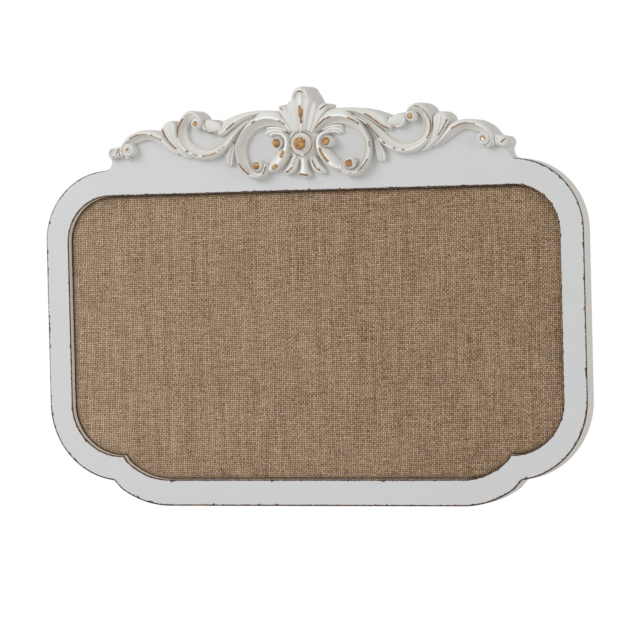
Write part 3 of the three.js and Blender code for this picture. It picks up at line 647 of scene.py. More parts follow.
def make_board():
    """Rings of (outline, relief, edge distance, wall share of the painted wall light); the arris is a quarter
    circle of its own radius.
    """
    outer = board_outline()
    inward = inward_offsets(outer)
    rings = []

    def outer_ring(inset, relief, edge):
        rings.append((outer + inward * inset, relief, edge, OUTER_WALL_PAINTED_LIGHT * (relief < -ARRIS)))

    def inner_ring(grow, relief, edge):
        rings.append((opening_outline(grow), relief, edge, 1.0 * (relief < -ARRIS)))

    quarter = np.radians([30, 60, 90])
    for inset in FACE_INSETS:
        outer_ring(inset, 0, OUTER_FACE_WEAR * (inset - ARRIS))
    for angle in quarter:
        outer_ring(ARRIS * (1 - math.sin(angle)), -ARRIS * (1 - math.cos(angle)), 0)
    for depth in WALL_DEPTHS:
        outer_ring(0, -depth, WALL_WEAR * (depth - ARRIS))
    outer_ring(0, -THICKNESS + ARRIS, UNWORN)
    outer_ring(ARRIS, -THICKNESS, UNWORN)
    back_start = len(rings) - 1
    inner_ring(REBATE, -THICKNESS, UNWORN)
    inner_ring(REBATE, -LIP, UNWORN)
    inner_ring(LIP_CHAMFER, -LIP, 0)
    back_end = len(rings) - 1
    # Painted shadow: the lowest strip of the inner wall gets a negative edge distance, so it shows the dark
    # bare colour where the gap between lip and cloth is in shade.
    inner_ring(0, -LIP + LIP_CHAMFER, -LIP_SHADOW_STRIP)
    inner_ring(0, -LIP + LIP_CHAMFER + LIP_SHADOW_STRIP_RUN, LIP_SHADOW_STRIP_RUN - LIP_SHADOW_STRIP)
    for depth in WALL_DEPTHS[::-1]:
        inner_ring(0, -depth, WALL_WEAR * (depth - ARRIS))
    for angle in quarter[::-1]:
        inner_ring(ARRIS * (1 - math.sin(angle)), -ARRIS * (1 - math.cos(angle)), 0)
    for inset in FACE_INSETS[::-1]:
        inner_ring(inset, 0, inset - ARRIS)
    stack = stack_rings([ring[:2] for ring in rings])
    around = len(outer)
    index = np.arange(len(rings) * around).reshape(-1, around)
    walls = band(np.delete(index[:-1], back_start, 0), np.delete(index[1:], back_start, 0))
    right = np.arange(around // 2 + 1)
    left = np.r_[around // 2:around, 0]
    faces = [np.r_[from_ring[half], to_ring[half[::-1]]]
             for from_ring, to_ring in ((index[-1], index[0]), (index[back_start], index[back_start + 1]))
             for half in (right, left)]
    mesh = build_mesh("painted_board", [facing_out(stack.reshape(-1, 3), walls, faces)], sharp_angle=40)
    edges = np.repeat([[edge] for _, _, edge, _ in rings], around, 1).astype(float)
    covered = np.abs(outer[:, 0]) < CREST_HALF_SPAN + NOTCH_FILLET / 2
    covered &= outer[:, 1] > SHOULDER_TOP + ARRIS
    edges[:back_start] += UNWORN * covered
    low = outer[:, 1] < HIP_HEIGHT
    edges[:back_start] += np.where(low, 0, OUTER_SPARING)
    edges[back_end + 1:] += np.where(low, -FOOT_WEAR, INNER_SPARING)
    add_attribute(mesh, "edge", edges)
    add_attribute(mesh, "wall", np.repeat([wall for _, _, _, wall in rings], around))
    raw = np.zeros(len(walls) + len(faces), np.int32)
    raw[back_start * around:(back_end - 1) * around] = 1
    raw[-2:] = 1
    board = add_piece("painted_board", mesh, board_paint, ["frame_board"])
    mesh.materials.append(board_back)
    mesh.polygons.foreach_set("material_index", raw)
    return board


painted_board = make_board()
print(f"painted_board: {len(painted_board.data.polygons)} faces")

# %% [markdown]
# ## Chalk paint on the crest
# The ornaments are cast and painted warm white, then rubbed until golden brown shows on the highest places.
# The rubbed places are listed strokes along ridges and caps. Each point of an ornament carries how deep
# it lies inside a stroke, in millimetres, and how high it stands in its own section. Noise breaks the
# stroke's edge. Thin strokes and stroke edges stay dark brown, partly bare resin and partly painted shadow of
# the paint's edge, and wide ones open to a golden middle with a soft shine.
# Ridges get a painted highlight, the lightest places of the paint, and hollows and the low places of each
# form get a faint painted shade.

# %% Crest finish
CREST_RAGGED_MM = 1.3
STROKE_LOSS = -0.55
STROKE_GAIN = 0.4
STROKE_FADE = 0.2
# Stroke depth up to which a rubbed place stays dark brown: partly bare resin, partly painted shadow of the
# paint's edge.
DARK_BARE_AND_SHADOW_DEPTH = 0.15
GOLDEN_DEPTH = 1.1
RUBBED_FROM = 0.72
RUBBED_FULLY = 0.86
# Painted shade on the low places of each form: its full share up to the first rise, none from the second.
HOLLOW_SHADE_FULLY = 0.25
HOLLOW_SHADE_END = 0.75
HOLLOW_SHADE_SHARE = 0.8
# Painted highlight on ridges: from this rise on the paint is mixed towards near-white, up to this share.
RIDGE_HIGHLIGHT_FROM = 0.94
RIDGE_HIGHLIGHT_SHARE = 0.9
PAINT_ROUGHNESS = 0.55
GOLDEN_ROUGHNESS = 0.3


def chalk_paint_crest():
    """Bare where stroke depth plus noise is above zero and the form is high, golden where that is deep."""
    material, tree = new_material("chalk paint on cast resin")
    coordinates = add_node(tree, "TexCoord").outputs["Object"]
    wear = add_node(tree, "Attribute", attribute_name="wear").outputs["Fac"]
    rise = add_node(tree, "Attribute", attribute_name="rise").outputs["Fac"]
    ragged = add_node(tree, "TexNoise",
                      {"Vector": coordinates, "Scale": 1 / (CREST_RAGGED_MM * MM), "Detail": 3.0})
    broken = add_node(tree, "MapRange", {
        "Value": ragged.outputs["Fac"], "From Min": NOISE_LOW, "From Max": NOISE_HIGH,
        "To Min": STROKE_LOSS, "To Max": STROKE_GAIN})
    depth = add_node(tree, "Math", {0: wear, 1: broken.outputs[0]}, operation="ADD")
    worn = add_node(tree, "MapRange", {"Value": depth.outputs[0], "From Min": 0.0, "From Max": STROKE_FADE})
    high = add_node(tree, "MapRange", {"Value": rise, "From Min": RUBBED_FROM, "From Max": RUBBED_FULLY})
    worn = add_node(tree, "Math", {0: worn.outputs[0], 1: high.outputs[0]}, operation="MULTIPLY")
    # Painted shade: hollows and the low places near each form's foot are mixed towards a darker grey.
    hollow_shade = add_node(tree, "MapRange", {
        "Value": rise, "From Min": HOLLOW_SHADE_FULLY, "From Max": HOLLOW_SHADE_END, "To Min": HOLLOW_SHADE_SHARE, "To Max": 0.0})
    # Painted highlight: ridge tops, where rise nears 1, are mixed towards near-white.
    ridge = add_node(tree, "MapRange", {
        "Value": rise, "From Min": RIDGE_HIGHLIGHT_FROM, "From Max": 1.0, "To Min": 0.0, "To Max": RIDGE_HIGHLIGHT_SHARE})
    paint = add_node(tree, "Mix", {
        "Factor": hollow_shade.outputs[0], "A": linear("#dfddd8"), "B": linear("#d8d5cd")}, data_type="RGBA")
    paint = add_node(tree, "Mix", {
        "Factor": ridge.outputs[0], "A": paint.outputs["Result"], "B": linear("#fbfbf9")}, data_type="RGBA")
    golden = worn_colour(tree, coordinates, ("#8c5a2e", "#dcb06c"))
    # Thin strokes and stroke edges are dark brown: partly bare resin, partly painted shadow of the paint's
    # edge.
    middle = add_node(tree, "MapRange", {
        "Value": depth.outputs[0], "From Min": DARK_BARE_AND_SHADOW_DEPTH, "From Max": GOLDEN_DEPTH})
    bare = add_node(tree, "Mix", {
        "Factor": middle.outputs[0], "A": linear("#74482a"), "B": golden}, data_type="RGBA")
    colour = add_node(tree, "Mix", {
        "Factor": worn.outputs[0], "A": paint.outputs["Result"], "B": bare.outputs["Result"]},
        data_type="RGBA")
    brush = add_node(tree, "TexNoise", {"Vector": coordinates, "Scale": 1 / (BRUSH_MM * MM), "Detail": 2.0})
    height = add_node(tree, "Math", {0: brush.outputs["Fac"], 1: worn.outputs[0]}, operation="SUBTRACT")
    bump = add_node(tree, "Bump", {
        "Strength": 0.3, "Distance": BRUSH_DEPTH * MM, "Height": height.outputs[0]})
    gloss = add_node(tree, "MapRange", {
        "Value": worn.outputs[0], "To Min": PAINT_ROUGHNESS, "To Max": GOLDEN_ROUGHNESS})
    shader = add_node(tree, "BsdfPrincipled", {
        "Base Color": colour.outputs["Result"], "Roughness": gloss.outputs[0], "IOR": 1.5,
        "Specular IOR Level": 0.4, "Normal": bump.outputs[0]})
    add_node(tree, "OutputMaterial", {"Surface": shader.outputs[0]})
    return material


crest_paint = chalk_paint_crest()
print("crest finish:", crest_paint.name)

# %% [markdown]
# ### Where the paint is rubbed through
# Each stroke is a half-width and a line of points about the middle and the crest line. A smooth curve runs
# through three points or more. One point alone makes a round cap.

# %% Rubbed strokes
STROKES = [
    # Caps of the rosette and of the balls
    (7.4, [(0, 0.6)]),
    (5.2, [(-29.7, 2)]), (4.8, [(29.3, 2.2)]),
    (4.5, [(-55.5, -22.5)]), (4.5, [(55, -22.7)]),
    (3.1, [(-128, 26.8)]), (3.5, [(127.5, 27)]),
    (2.4, [(-211.2, 0.4)]), (1.2, [(209, -1.5), (209.4, 1.4), (212, 2), (213, 0)]),
    # Palmette
    (2.9, [(0, 32), (0.3, 37)]), (2.0, [(-0.4, 41), (0, 30)]), (1.5, [(0.3, 29), (0.5, 24)]),
    (1.2, [(-1, 57.9), (2.6, 57.6)]),
    (0.9, [(-26.5, 42), (-23, 38)]), (0.7, [(-18, 41.8)]), (0.9, [(22, 37.5), (25, 39.8), (28, 42)]),
    # Foot and inner scrolls
    (1.2, [(-4.5, -33), (5, -34.2)]), (1.6, [(-3.5, -33)]), (0.8, [(-0.8, -22)]),
    (0.6, [(-10.3, -16), (-12.6, -22)]), (1.0, [(-14, -25.5)]), (0.6, [(-14.5, -26.2), (-17.5, -28.6)]),
    (1.2, [(-19, -29.5), (-20.5, -29.9)]), (0.9, [(10.7, -18), (12.4, -22), (15, -26.7), (19.5, -29.5)]),
    (2.3, [(-22.7, -8), (-25, -12.5)]), (2.3, [(-36.2, -25.4), (-32.4, -23)]),
    (1.7, [(21.2, -6), (23, -11), (26, -15.5), (29.8, -19.6)]), (0.6, [(36.5, -25)]),
    # C-scrolls
    (0.9, [(-59.5, 25.2), (-55.5, 27)]), (0.9, [(-27, 26.4), (-24, 24.7), (-21, 22.4)]),
    (0.9, [(-76, -19.5), (-70.8, -26.6), (-64, -31.6)]), (1.1, [(-47.4, -30.6), (-45.5, -27.5), (-45, -24)]),
    (0.9, [(15.5, 16.5), (19.5, 21), (27, 26.5), (34.5, 29)]), (1.1, [(55, 27.2), (61, 24.4), (67, 20.2)]),
    (0.7, [(79, 0.5), (79.5, -5)]), (1.0, [(76.3, -19), (71, -26.3), (66, -30.6)]),
    (0.7, [(58, -33.4), (55, -33.5)]),
    # S-scrolls
    (1.0, [(-143.6, 32.2), (-148.6, 25), (-150.4, 18), (-150.4, 13)]), (0.6, [(-140.5, 34.6), (-139, 35.5)]),
    (0.6, [(-134, 36.9), (-132.5, 36.9)]), (1.0, [(-140, -3.3), (-138, -4.5)]),
    (0.7, [(-132.5, -7.2), (-126.5, -9)]),
    (1.0, [(-120, -9.8), (-111, -8.9), (-104, -6.2)]), (0.7, [(-101, -4.7), (-94, 0)]),
    (1.4, [(134, 36.9), (138, 36)]),
    (0.95, [(138, 36), (143.6, 32.2), (148.6, 25), (150.4, 18), (150, 10), (146.4, 2.5)]),
    (1.0, [(119.5, -9.8), (117.5, -9.6)]), (0.9, [(109, -8.2), (107, -7.5)]),
    (0.9, [(76, 19.5), (83, 12), (90, 4.2)]), (0.8, [(94.5, -0.4), (97, -2.2)]),
    # Feathers and buds
    (0.8, [(-82, 26), (-91, 19.2)]), (0.9, [(-102, 17.2)]), (0.9, [(-103, 12.8)]),
    (1.1, [(74, 30.7), (83, 25.3), (92, 18.4), (101, 13.9)]),
    (0.9, [(-117.3, 18.6), (-114.5, 16.5), (-110.5, 15.6), (-106.8, 15.9)]), (0.6, [(-120.3, 24)]),
    (0.8, [(107.5, 15.8), (108.6, 15.7)]), (0.6, [(120.3, 24.8)]), (0.5, [(116.6, 17.9)]),
    # Leaf sprays
    (0.9, [(-169, 21), (-163, 10), (-157.5, 3.5), (-153, -0.8)]), (1.5, [(168.8, 20.8)]),
    (0.9, [(168.5, 19.5), (163, 10), (158.5, 4.5)]),
    # Tails
    (1.1, [(-208.5, 12.8), (-200, 15.9), (-188, 16.5)]), (1.0, [(-183.5, 15.6), (-171, 9.7)]),
    (1.1, [(174.5, 11.9), (184, 15.8), (192, 16.8), (201.5, 15.5)]),
    (0.9, [(-232, -7.6), (-229.6, -7.2), (-227, -4.8), (-225.4, -1.4), (-224, 1.2)]),
    (1.2, [(231.4, -4.6), (235.2, -1.8)]),
    (0.6, [(-217.6, -6.6), (-215.5, -8.5)]), (0.8, [(-211, -9)]), (0.8, [(212.5, -9)]),
]
ROSETTE_CENTRE = (0, 0.5)
RIM_RADIUS = 13.05
RIM_ARCS = [(1.0, 22, 84), (1.2, -72, 16), (0.9, 98, 134),
            (0.8, 140, 160), (0.7, 166, 188), (0.9, 196, 230), (0.9, 236, 264)]
RIM_POINTS = 8
STROKES += [(width, arc(*ROSETTE_CENTRE, RIM_RADIUS, a, b, RIM_POINTS).tolist()) for width, a, b in RIM_ARCS]
OUTSIDE = -9.0
CURVE_POINTS = 6
SHORTEST = 1e-9


def stroke_depth(x, z):
    """How deep inside a stroke, in millimetres: the most of half-width less distance to the stroke's line."""
    here = np.stack([x, z], -1)
    best = np.full(x.shape, OUTSIDE)
    for width, points in STROKES:
        line = catmull(points, CURVE_POINTS * len(points)) if len(points) > 2 else np.array(points, float)
        near = np.abs(here - line.mean(0)).max(-1) < np.ptp(line, axis=0).max() + 3 * width
        for a, b in zip(line, line[1:] if len(line) > 1 else line):
            side = b - a
            share = np.clip((here[near] - a) @ side / max(side @ side, SHORTEST), 0, 1)
            gap = np.linalg.norm(here[near] - a - share[..., None] * side, axis=-1)
            best[near] = np.maximum(best[near], width - gap)
    return best


print(len(STROKES), "rubbed strokes")

# %% [markdown]
# ## Crest ornaments
# A cast scroll is a section carried along a ridge. Scrolls have a round outer roll, a crisp rim and a hollow
# cove with a small lip, leaves have ribs, and balls and rosettes are turned. A section is a few points: the
# share of the width from the ridge, with the outer side negative, and the share of the relief.

# %% Sections
def mirrored(half):
    """Section from its outer foot to its ridge, with the same again on the inner side."""
    return half + [(-share, rise) for share, rise in half[-2::-1]]


COVE = [(-1, 0), (-0.95, 0.36), (-0.8, 0.66), (-0.5, 0.87), (-0.2, 0.965), (-0.05, 1), (0.03, 1),
        (0.07, 0.94), (0.12, 0.82), (0.22, 0.63), (0.36, 0.48), (0.5, 0.4), (0.62, 0.37), (0.7, 0.4),
        (0.76, 0.46), (0.82, 0.48), (0.87, 0.44), (0.91, 0.34), (0.95, 0.2), (1, 0)]
FOLD = [(-1, 0), (-0.9, 0.42), (-0.6, 0.76), (-0.25, 0.94), (-0.04, 1), (0.05, 0.98), (0.16, 0.9),
        (0.36, 0.82), (0.6, 0.78), (0.82, 0.7), (0.93, 0.46), (1, 0)]
FEATHER = [(-1, 0), (-0.95, 0.36), (-0.8, 0.62), (-0.62, 0.68), (-0.44, 0.66), (-0.26, 0.74), (-0.1, 0.92),
           (0, 1), (0.14, 0.9), (0.5, 0.66), (0.85, 0.42), (1, 0)]
ROUND = mirrored([(-1, 0), (-0.96, 0.3), (-0.82, 0.6), (-0.5, 0.88), (0, 1)])
DOME = mirrored([(-1, 0), (-0.96, 0.34), (-0.82, 0.64), (-0.5, 0.84), (0, 0.9)])
RIB = mirrored([(-1, 0), (-0.93, 0.46), (-0.74, 0.72), (-0.48, 0.74), (-0.24, 0.82), (-0.08, 0.96), (0, 1)])
SPOON = mirrored([(-1, 0), (-0.99, 0.4), (-0.94, 0.76), (-0.84, 0.95), (-0.72, 1), (-0.58, 0.94),
                  (-0.36, 0.86), (0, 0.84)])
KEEL = mirrored([(-1, 0), (-0.99, 0.4), (-0.94, 0.7), (-0.84, 0.83), (-0.72, 0.86), (-0.58, 0.84),
                 (-0.36, 0.84), (0, 1)])
VEIN = mirrored([(-1, 0), (-0.97, 0.46), (-0.88, 0.74), (-0.6, 0.84), (-0.22, 0.86), (-0.1, 0.92), (0, 1)])
SCOOP = mirrored([(-1, 0), (-0.97, 0.6), (-0.85, 1), (-0.7, 0.85), (-0.3, 0.7), (-0.12, 0.8), (0, 1)])
FLUTE_POINTS = 16


def fluted(count, depth):
    """Dome (1 - |u|^3)^(1/2), lowered by depth (1 - (1 - 2 d)^2) where d is the way to a ridge in flutes."""
    u = np.linspace(-1, 1, FLUTE_POINTS * count + 1)
    dome = np.sqrt(np.clip(1 - np.abs(u) ** 3, 0, 1))
    away = np.abs((u + 1) * count / 2 % 1 - 0.5)
    return np.stack([u, dome * (1 - depth * (1 - (1 - 2 * away) ** 2))], 1)


print(f"sections of {len(ROUND)} to {len(COVE)} points")

# %% [markdown]
# ### Carrying a section along a ridge
# Rows give the ridge point, the width on its outer and inner side and the relief there. The section is scaled
# to them ring by ring, and one section can turn into another on the way. A coarse mesh would lose the crisp
# rims, so each ring has many points across and rings lie close together.

# %% Sweeps and turned forms
SINK = 2.5
STEP = 0.7
FEWEST_RINGS = 14
MEASURE_POINTS = 200
SECTION_POINTS = 44
END_ROUNDING = 0.9
END_SMALLEST = 0.03
BALL_RINGS = 22
BALL_WALL = 0.42
BALL_WALL_RISE = 0.55
BALL_FOOT = 1.04


def rounding(distance, reach):
    """Share of full size near an end: a quarter circle over the reach."""
    t = np.clip(distance / reach, END_SMALLEST, 1)
    return np.sqrt(1 - (1 - t) ** 2)


def sweep(rows, sections, ends=(1, 1)):
    """Section carried along a ridge: offset along the normal by share times width, relief by share of height.

    Sections keyed by row number blend from one to the next. Ends of 1 are round, smaller ones more blunt.
    """
    if not isinstance(sections, dict):
        sections = {0: sections}
    length = run_length(catmull(rows, MEASURE_POINTS)[:, :2])[-1]
    path = catmull(rows, max(FEWEST_RINGS, int(length / STEP)))
    right = right_of(np.gradient(path[:, :2], axis=0))
    gone = run_length(path[:, :2])
    half = END_ROUNDING * (path[:, 2] + path[:, 3]) / 2
    size = (rounding(gone, ends[0] * half[0]) * rounding(gone[-1] - gone, ends[1] * half[-1]))[:, None]
    row = np.linspace(0, len(rows) - 1, len(path))
    weight = np.stack([np.interp(row, list(sections), line) for line in np.eye(len(sections))])
    curves = np.stack([catmull(section, SECTION_POINTS) for section in sections.values()])
    share, rise = np.einsum("kn,ksc->cns", weight, curves)
    offset = np.where(share < 0, share * path[:, 2:3], share * path[:, 3:4]) * size
    offset = np.hstack([offset, offset[:, -1:], offset[:, :1]])
    below = np.full((len(path), 2), -SINK)
    relief = np.hstack([rise * path[:, 4:5] * size, below])
    x = path[:, 0:1] + right[:, 0:1] * offset
    z = path[:, 1:2] + right[:, 1:2] * offset
    return x, relief, z, np.hstack([rise, 0 * below])


def turned(centre, profile, count=48):
    """Profile of (radius, relief, share) turned about the centre: x = r cos, z = r sin."""
    angle = full_turn(count)
    radius, relief, share = (column[:, None] for column in np.array(profile, float).T)
    x = centre[0] + radius * np.cos(angle)
    z = centre[1] + radius * np.sin(angle)
    return x, np.broadcast_to(relief, x.shape), z, np.broadcast_to(share, x.shape)


def ball(x, z, radius, relief):
    """Bullet: a wall, then a dome where r / R = sqrt(1 - t^2) as t goes from the wall's top to the tip."""
    t = np.linspace(0, 0.999, BALL_RINGS)
    height = relief * (BALL_WALL + (1 - BALL_WALL) * t)
    rise = BALL_WALL_RISE + (1 - BALL_WALL_RISE) * t
    dome = np.stack([radius * np.sqrt(1 - t**2), height, rise], 1)
    return turned((x, z), [(radius * BALL_FOOT, -SINK, 0), *dome])


# %% [markdown]
# ### Castings
# Where a form comes near the board's edge, its flank runs down to that edge and a hair over it, so that board
# and casting read as one. Several forms together make one casting, and most castings come in mirrored pairs.

# %% Castings
EDGE_HOLD = 4.0
EDGE_REACH = 7.0
EDGE_STEP = 0.4
COARSE = 8
SKIRT = 0.12
SKIRT_STEP = 0.03
SKIRT_LAYERS = 7


def crest_edge():
    """The board's edge along the crest about the crest line, evenly spaced, with its outward normals."""
    run = crest_run()
    line = np.concatenate([run, run[-2::-1] * [-1, 1]]) - [0, CREST_LINE]
    gone = run_length(line)
    even = np.arange(0, gone[-1], EDGE_STEP)
    line = np.stack([np.interp(even, gone, line[:, k]) for k in (0, 1)], 1)
    return line, right_of(np.gradient(line, axis=0))


CREST_EDGE, CREST_OUTWARD = crest_edge()
skirt_layers = cycle([*range(1, SKIRT_LAYERS), 0])


def reach_edge(x, z, rise):
    """Moves points to the nearest edge point by (1 - rise), fully within HOLD of it, fading out at REACH.

    Forms that share a stretch of edge get skirts of different thickness, so no two faces lie in one place.
    """
    skirt = SKIRT + SKIRT_STEP * next(skirt_layers)
    here = np.stack([x, z], -1).reshape(-1, 2)
    low = 1 - np.ravel(rise)
    rough_gap = np.linalg.norm(here[:, None] - CREST_EDGE[::COARSE], axis=-1).min(1)
    near = np.flatnonzero((rough_gap < EDGE_REACH + COARSE * EDGE_STEP) & (low > 0))
    gap = np.linalg.norm(here[near, None] - CREST_EDGE, axis=-1)
    pull = np.clip((EDGE_REACH - gap.min(1)) / (EDGE_REACH - EDGE_HOLD), 0, 1) * low[near]
    goal = (CREST_EDGE + skirt * CREST_OUTWARD)[gap.argmin(1)]
    here[near] += pull[:, None] * (goal - here[near])
    return here[:, 0].reshape(x.shape), here[:, 1].reshape(x.shape)


def make_ornament(node, forms, side):
    """One casting of several skins, mirrored for the left side, with its wear and rise at every point."""
    skins = []
    wear = []
    rises = []
    for x, relief, z, rise in forms:
        x, z = reach_edge(x, z, rise)
        skins.append(skin(place(side * x, relief, CREST_LINE + z)))
        wear.append(stroke_depth(side * x, z).ravel())
        rises.append(rise.ravel())
    mesh = build_mesh(f"{node}_casting", skins, sharp_angle=70)
    add_attribute(mesh, "wear", np.concatenate(wear))
    add_attribute(mesh, "rise", np.concatenate(rises))
    piece = add_piece(f"{node}_casting", mesh, crest_paint, [node])
    print(f"{piece.name}: {len(mesh.polygons)} faces")


def make_pair(ornament, forms):
    """The same forms as a right casting and, mirrored, as a left one."""
    make_ornament(f"{ornament}_right", forms, 1)
    make_ornament(f"{ornament}_left", forms, -1)


print(f"crest edge in {len(CREST_EDGE)} steps of {EDGE_STEP} mm")

# %% [markdown]
# ### Middle of the crest
# A turned rosette sits on a soft bed on the crest line. A palmette fans out above it, with a keeled middle
# lobe that rolls over at the top, and a bell-shaped foot with a leaf on each side hangs below.

# %% Rosette, palmette and foot
ROSETTE_RADIUS = 14.5
ROSETTE_RELIEF = 20.5
ROSETTE_RINGS = 70
ROSETTE_AROUND = 96
BED_RISE = 0.75
rosette_rows = [(1.0, -0.1, 0), (1.0, 0.36, 0.3), (0.98, 0.56, 0.5), (0.94, 0.68, 0.8), (0.9, 0.72, 1),
                (0.86, 0.71, 0.9), (0.81, 0.66, 0.5), (0.77, 0.65, 0.4), (0.73, 0.69, 0.6), (0.68, 0.72, 0.7),
                (0.62, 0.71, 0.6), (0.59, 0.71, 0.5), (0.56, 0.79, 0.8), (0.49, 0.89, 1), (0.34, 0.97, 1),
                (0.15, 1, 1), (0.02, 1, 1)]
rosette_profile = catmull(rosette_rows, ROSETTE_RINGS) * [ROSETTE_RADIUS, ROSETTE_RELIEF, 1]
bed_rows = [(21.5, -SINK), (21.5, 0.2), (20, 3), (18, 5.5), (16, 7.5), (13, 9)]
make_ornament("rosette", [
    turned(ROSETTE_CENTRE, rosette_profile, ROSETTE_AROUND),
    turned(ROSETTE_CENTRE, [(radius, relief, BED_RISE) for radius, relief in bed_rows]),
], 1)

palmette_forms = [
    sweep([(0, 12, 4, 4, 12), (0, 25, 7, 7, 14.5), (0, 38, 10, 10, 15.8), (0, 50, 12, 12, 15),
           (0, 58, 9.4, 9.4, 16.5), (0, 63.6, 5, 5, 15)], {0: KEEL, 3: KEEL, 5: SPOON}),
    sweep([(-9, 47, 1.5, 1.5, 13), (-7.2, 55.5, 2.6, 2.6, 16.2), (0, 60, 3.4, 3.4, 17.2),
           (7.2, 55.5, 2.6, 2.6, 16.2), (9, 47, 1.5, 1.5, 13)], ROUND),
]
for half, tip in ((1, 12.2), (-1, 15.5)):
    palmette_forms += [
        sweep([(6 * half, 12, 4, 4, 11), (10 * half, 27, 6.5, 6.5, 12), (13 * half, 40, 6.6, 6.6, 11.5),
               (tip * half, 48.5, 3.4, 3.4, 9)], fluted(2, 0.1)),
        sweep([(8 * half, 11, 4, 4, 10.5), (14.5 * half, 25, 6, 6, 11), (20.5 * half, 34.5, 6.5, 6.5, 10.8),
               (27.5 * half, 42.5, 3, 3, 9.5)], fluted(2, 0.1), ends=(1, 0.5)),
    ]
make_ornament("palmette", palmette_forms, 1)
make_ornament("foot_stem", [sweep([(0, -12, 5.5, 5.5, 10), (0, -20, 5, 5, 10), (0, -27, 5.5, 5.5, 10),
                                   (0, -33, 8.5, 8.5, 11), (0, -38, 5, 5, 7)], ROUND)], 1)
make_pair("foot_leaf", [sweep([(8, -10, 4, 3, 9), (10.3, -17, 5.5, 4.5, 10), (13.7, -25, 6.5, 5, 10),
                               (19.5, -29.5, 5, 4, 9), (25.5, -31, 1.8, 1.8, 6)], RIB)])


# %% [markdown]
# ### Inner scrolls and C-scrolls
# An inner scroll curls round its ball beside the rosette, carries three small acanthus blades and runs out
# below. The C-scroll rises beside the palmette, swings down and curls round a second ball.

# %% Inner scrolls and C-scrolls
make_pair("inner_scroll", [
    sweep([(31, 12.5, 2, 2, 9), (25, 11.5, 2.5, 3, 11), (20.5, 7.5, 3, 4, 12), (18.8, 2, 4, 5, 12.5),
           (19.5, -3.5, 5, 5.5, 12.5), (22.5, -10, 8, 6.5, 12), (27, -16, 9, 6.5, 11.5),
           (31.5, -21, 9, 6, 10.8), (36, -24.8, 8.5, 5, 9.5), (41, -26.8, 7, 4, 7.5), (46, -27.5, 5, 3, 6)],
          ROUND),
    sweep([(28, 10.5, 2, 2, 6), (23, 7.6, 2.4, 2.4, 7.5), (21, 2, 2.4, 2.4, 8),
           (22.6, -3.8, 2.2, 2.2, 7.5)], DOME),
    ball(29.5, 2, 6.5, 17),
    sweep([(22, 13.5, 4, 4, 3.8), (36, 15.3, 5, 5, 4.2), (46.5, 14.5, 4.5, 4.5, 3)], DOME),
    sweep([(20, 15, 2, 2, 4.6), (30, 18.5, 2.4, 2.4, 5), (39, 19.2, 2.2, 2.2, 5),
           (46, 18.8, 1.6, 1.6, 4)], ROUND),
    sweep([(24, 13.5, 2.2, 2.2, 4.6), (33, 16.3, 2.4, 2.4, 5), (41, 15.2, 2, 2, 4.8),
           (46.5, 11.5, 1.4, 1.4, 3.8)], ROUND),
    sweep([(27, 11.5, 2, 2, 4.6), (34, 13.4, 2, 2, 5), (39, 12, 1.7, 1.7, 4.6),
           (42, 9.6, 1.2, 1.2, 3.6)], ROUND),
])
make_pair("c_scroll", [
    sweep([(14, 13.5, 3, 3, 10), (19.5, 21, 4, 6, 11), (27, 26.5, 6, 8, 12), (36, 29.3, 8.5, 9, 12),
           (46, 29.6, 9.2, 9.5, 12), (56, 26.8, 5, 9.5, 12), (66, 21, 3, 9, 12), (73.5, 12.5, 1.5, 9, 12),
           (78, 4, 1, 9, 12), (79.5, -4, 1, 9.5, 12), (78.5, -13.5, 1.5, 9.5, 12), (74.5, -22, 2.5, 9, 12.5),
           (67.5, -29.5, 3.5, 7, 12.5), (60, -33.2, 4.5, 5, 12.5), (52.5, -33.2, 4.5, 4, 12.5),
           (46.5, -29.5, 3, 4.4, 12), (45, -23.5, 2, 4, 11), (47, -19, 1.5, 3, 9)],
          {0: COVE, 12: COVE, 15: FOLD, 17: FOLD}),
    ball(55, -22.7, 6.8, 14),
])

# %% [markdown]
# ### Feathers, S-scrolls and buds
# A feather leaf grows out of the C-scroll's back. Below it the S-scroll sweeps out and up and closes as a
# smooth hood over its ball. A bell-shaped bud with a rolled rim opens between the feather's tip and that
# ball, and a small veined leaf drops from the stem.

# %% Feathers, S-scrolls and buds
make_pair("feather_leaf", [
    sweep([(40, 36, 2, 2, 8), (51, 35.6, 3, 3, 9.5), (62, 34, 4.5, 3.5, 9), (73, 31, 5.5, 4, 9),
           (83, 25.3, 7, 4, 9.5), (90, 20, 7.6, 3.5, 9.5), (96, 16, 6, 3.3, 8.8),
           (103.5, 13.2, 3.6, 2.4, 7)], FEATHER, ends=(1, 0.5)),
])
make_pair("s_scroll", [
    sweep([(122.2, 27, 0.8, 1.5, 7), (122.9, 31, 1, 3, 9.5), (125.8, 35, 2.2, 4.5, 11.5),
           (131.4, 36.9, 4, 6, 12), (138, 36, 4.5, 7.6, 11.5), (143.6, 32.2, 3.5, 8.6, 11),
           (148.6, 25, 1.5, 9.6, 10.5),
           (150.4, 18, 1, 10.5, 10), (150, 10, 1.2, 11, 10), (146.4, 2.5, 2.5, 11, 10),
           (139.4, -3.7, 3.5, 10.5, 10), (131, -7.7, 4.5, 10, 10), (121.4, -9.7, 4.5, 9.5, 10),
           (111.4, -9, 4.5, 9, 10), (102.5, -5.5, 4, 9, 10), (94, 0, 3.5, 8.5, 10), (86.5, 8, 2.5, 8, 9.5),
           (79, 16.5, 2, 6, 9), (69, 24.8, 2, 4, 8.5), (56, 31, 2, 2, 6)], {0: ROUND, 2: ROUND, 5: COVE}),
    ball(128, 26.8, 6.8, 12),
])
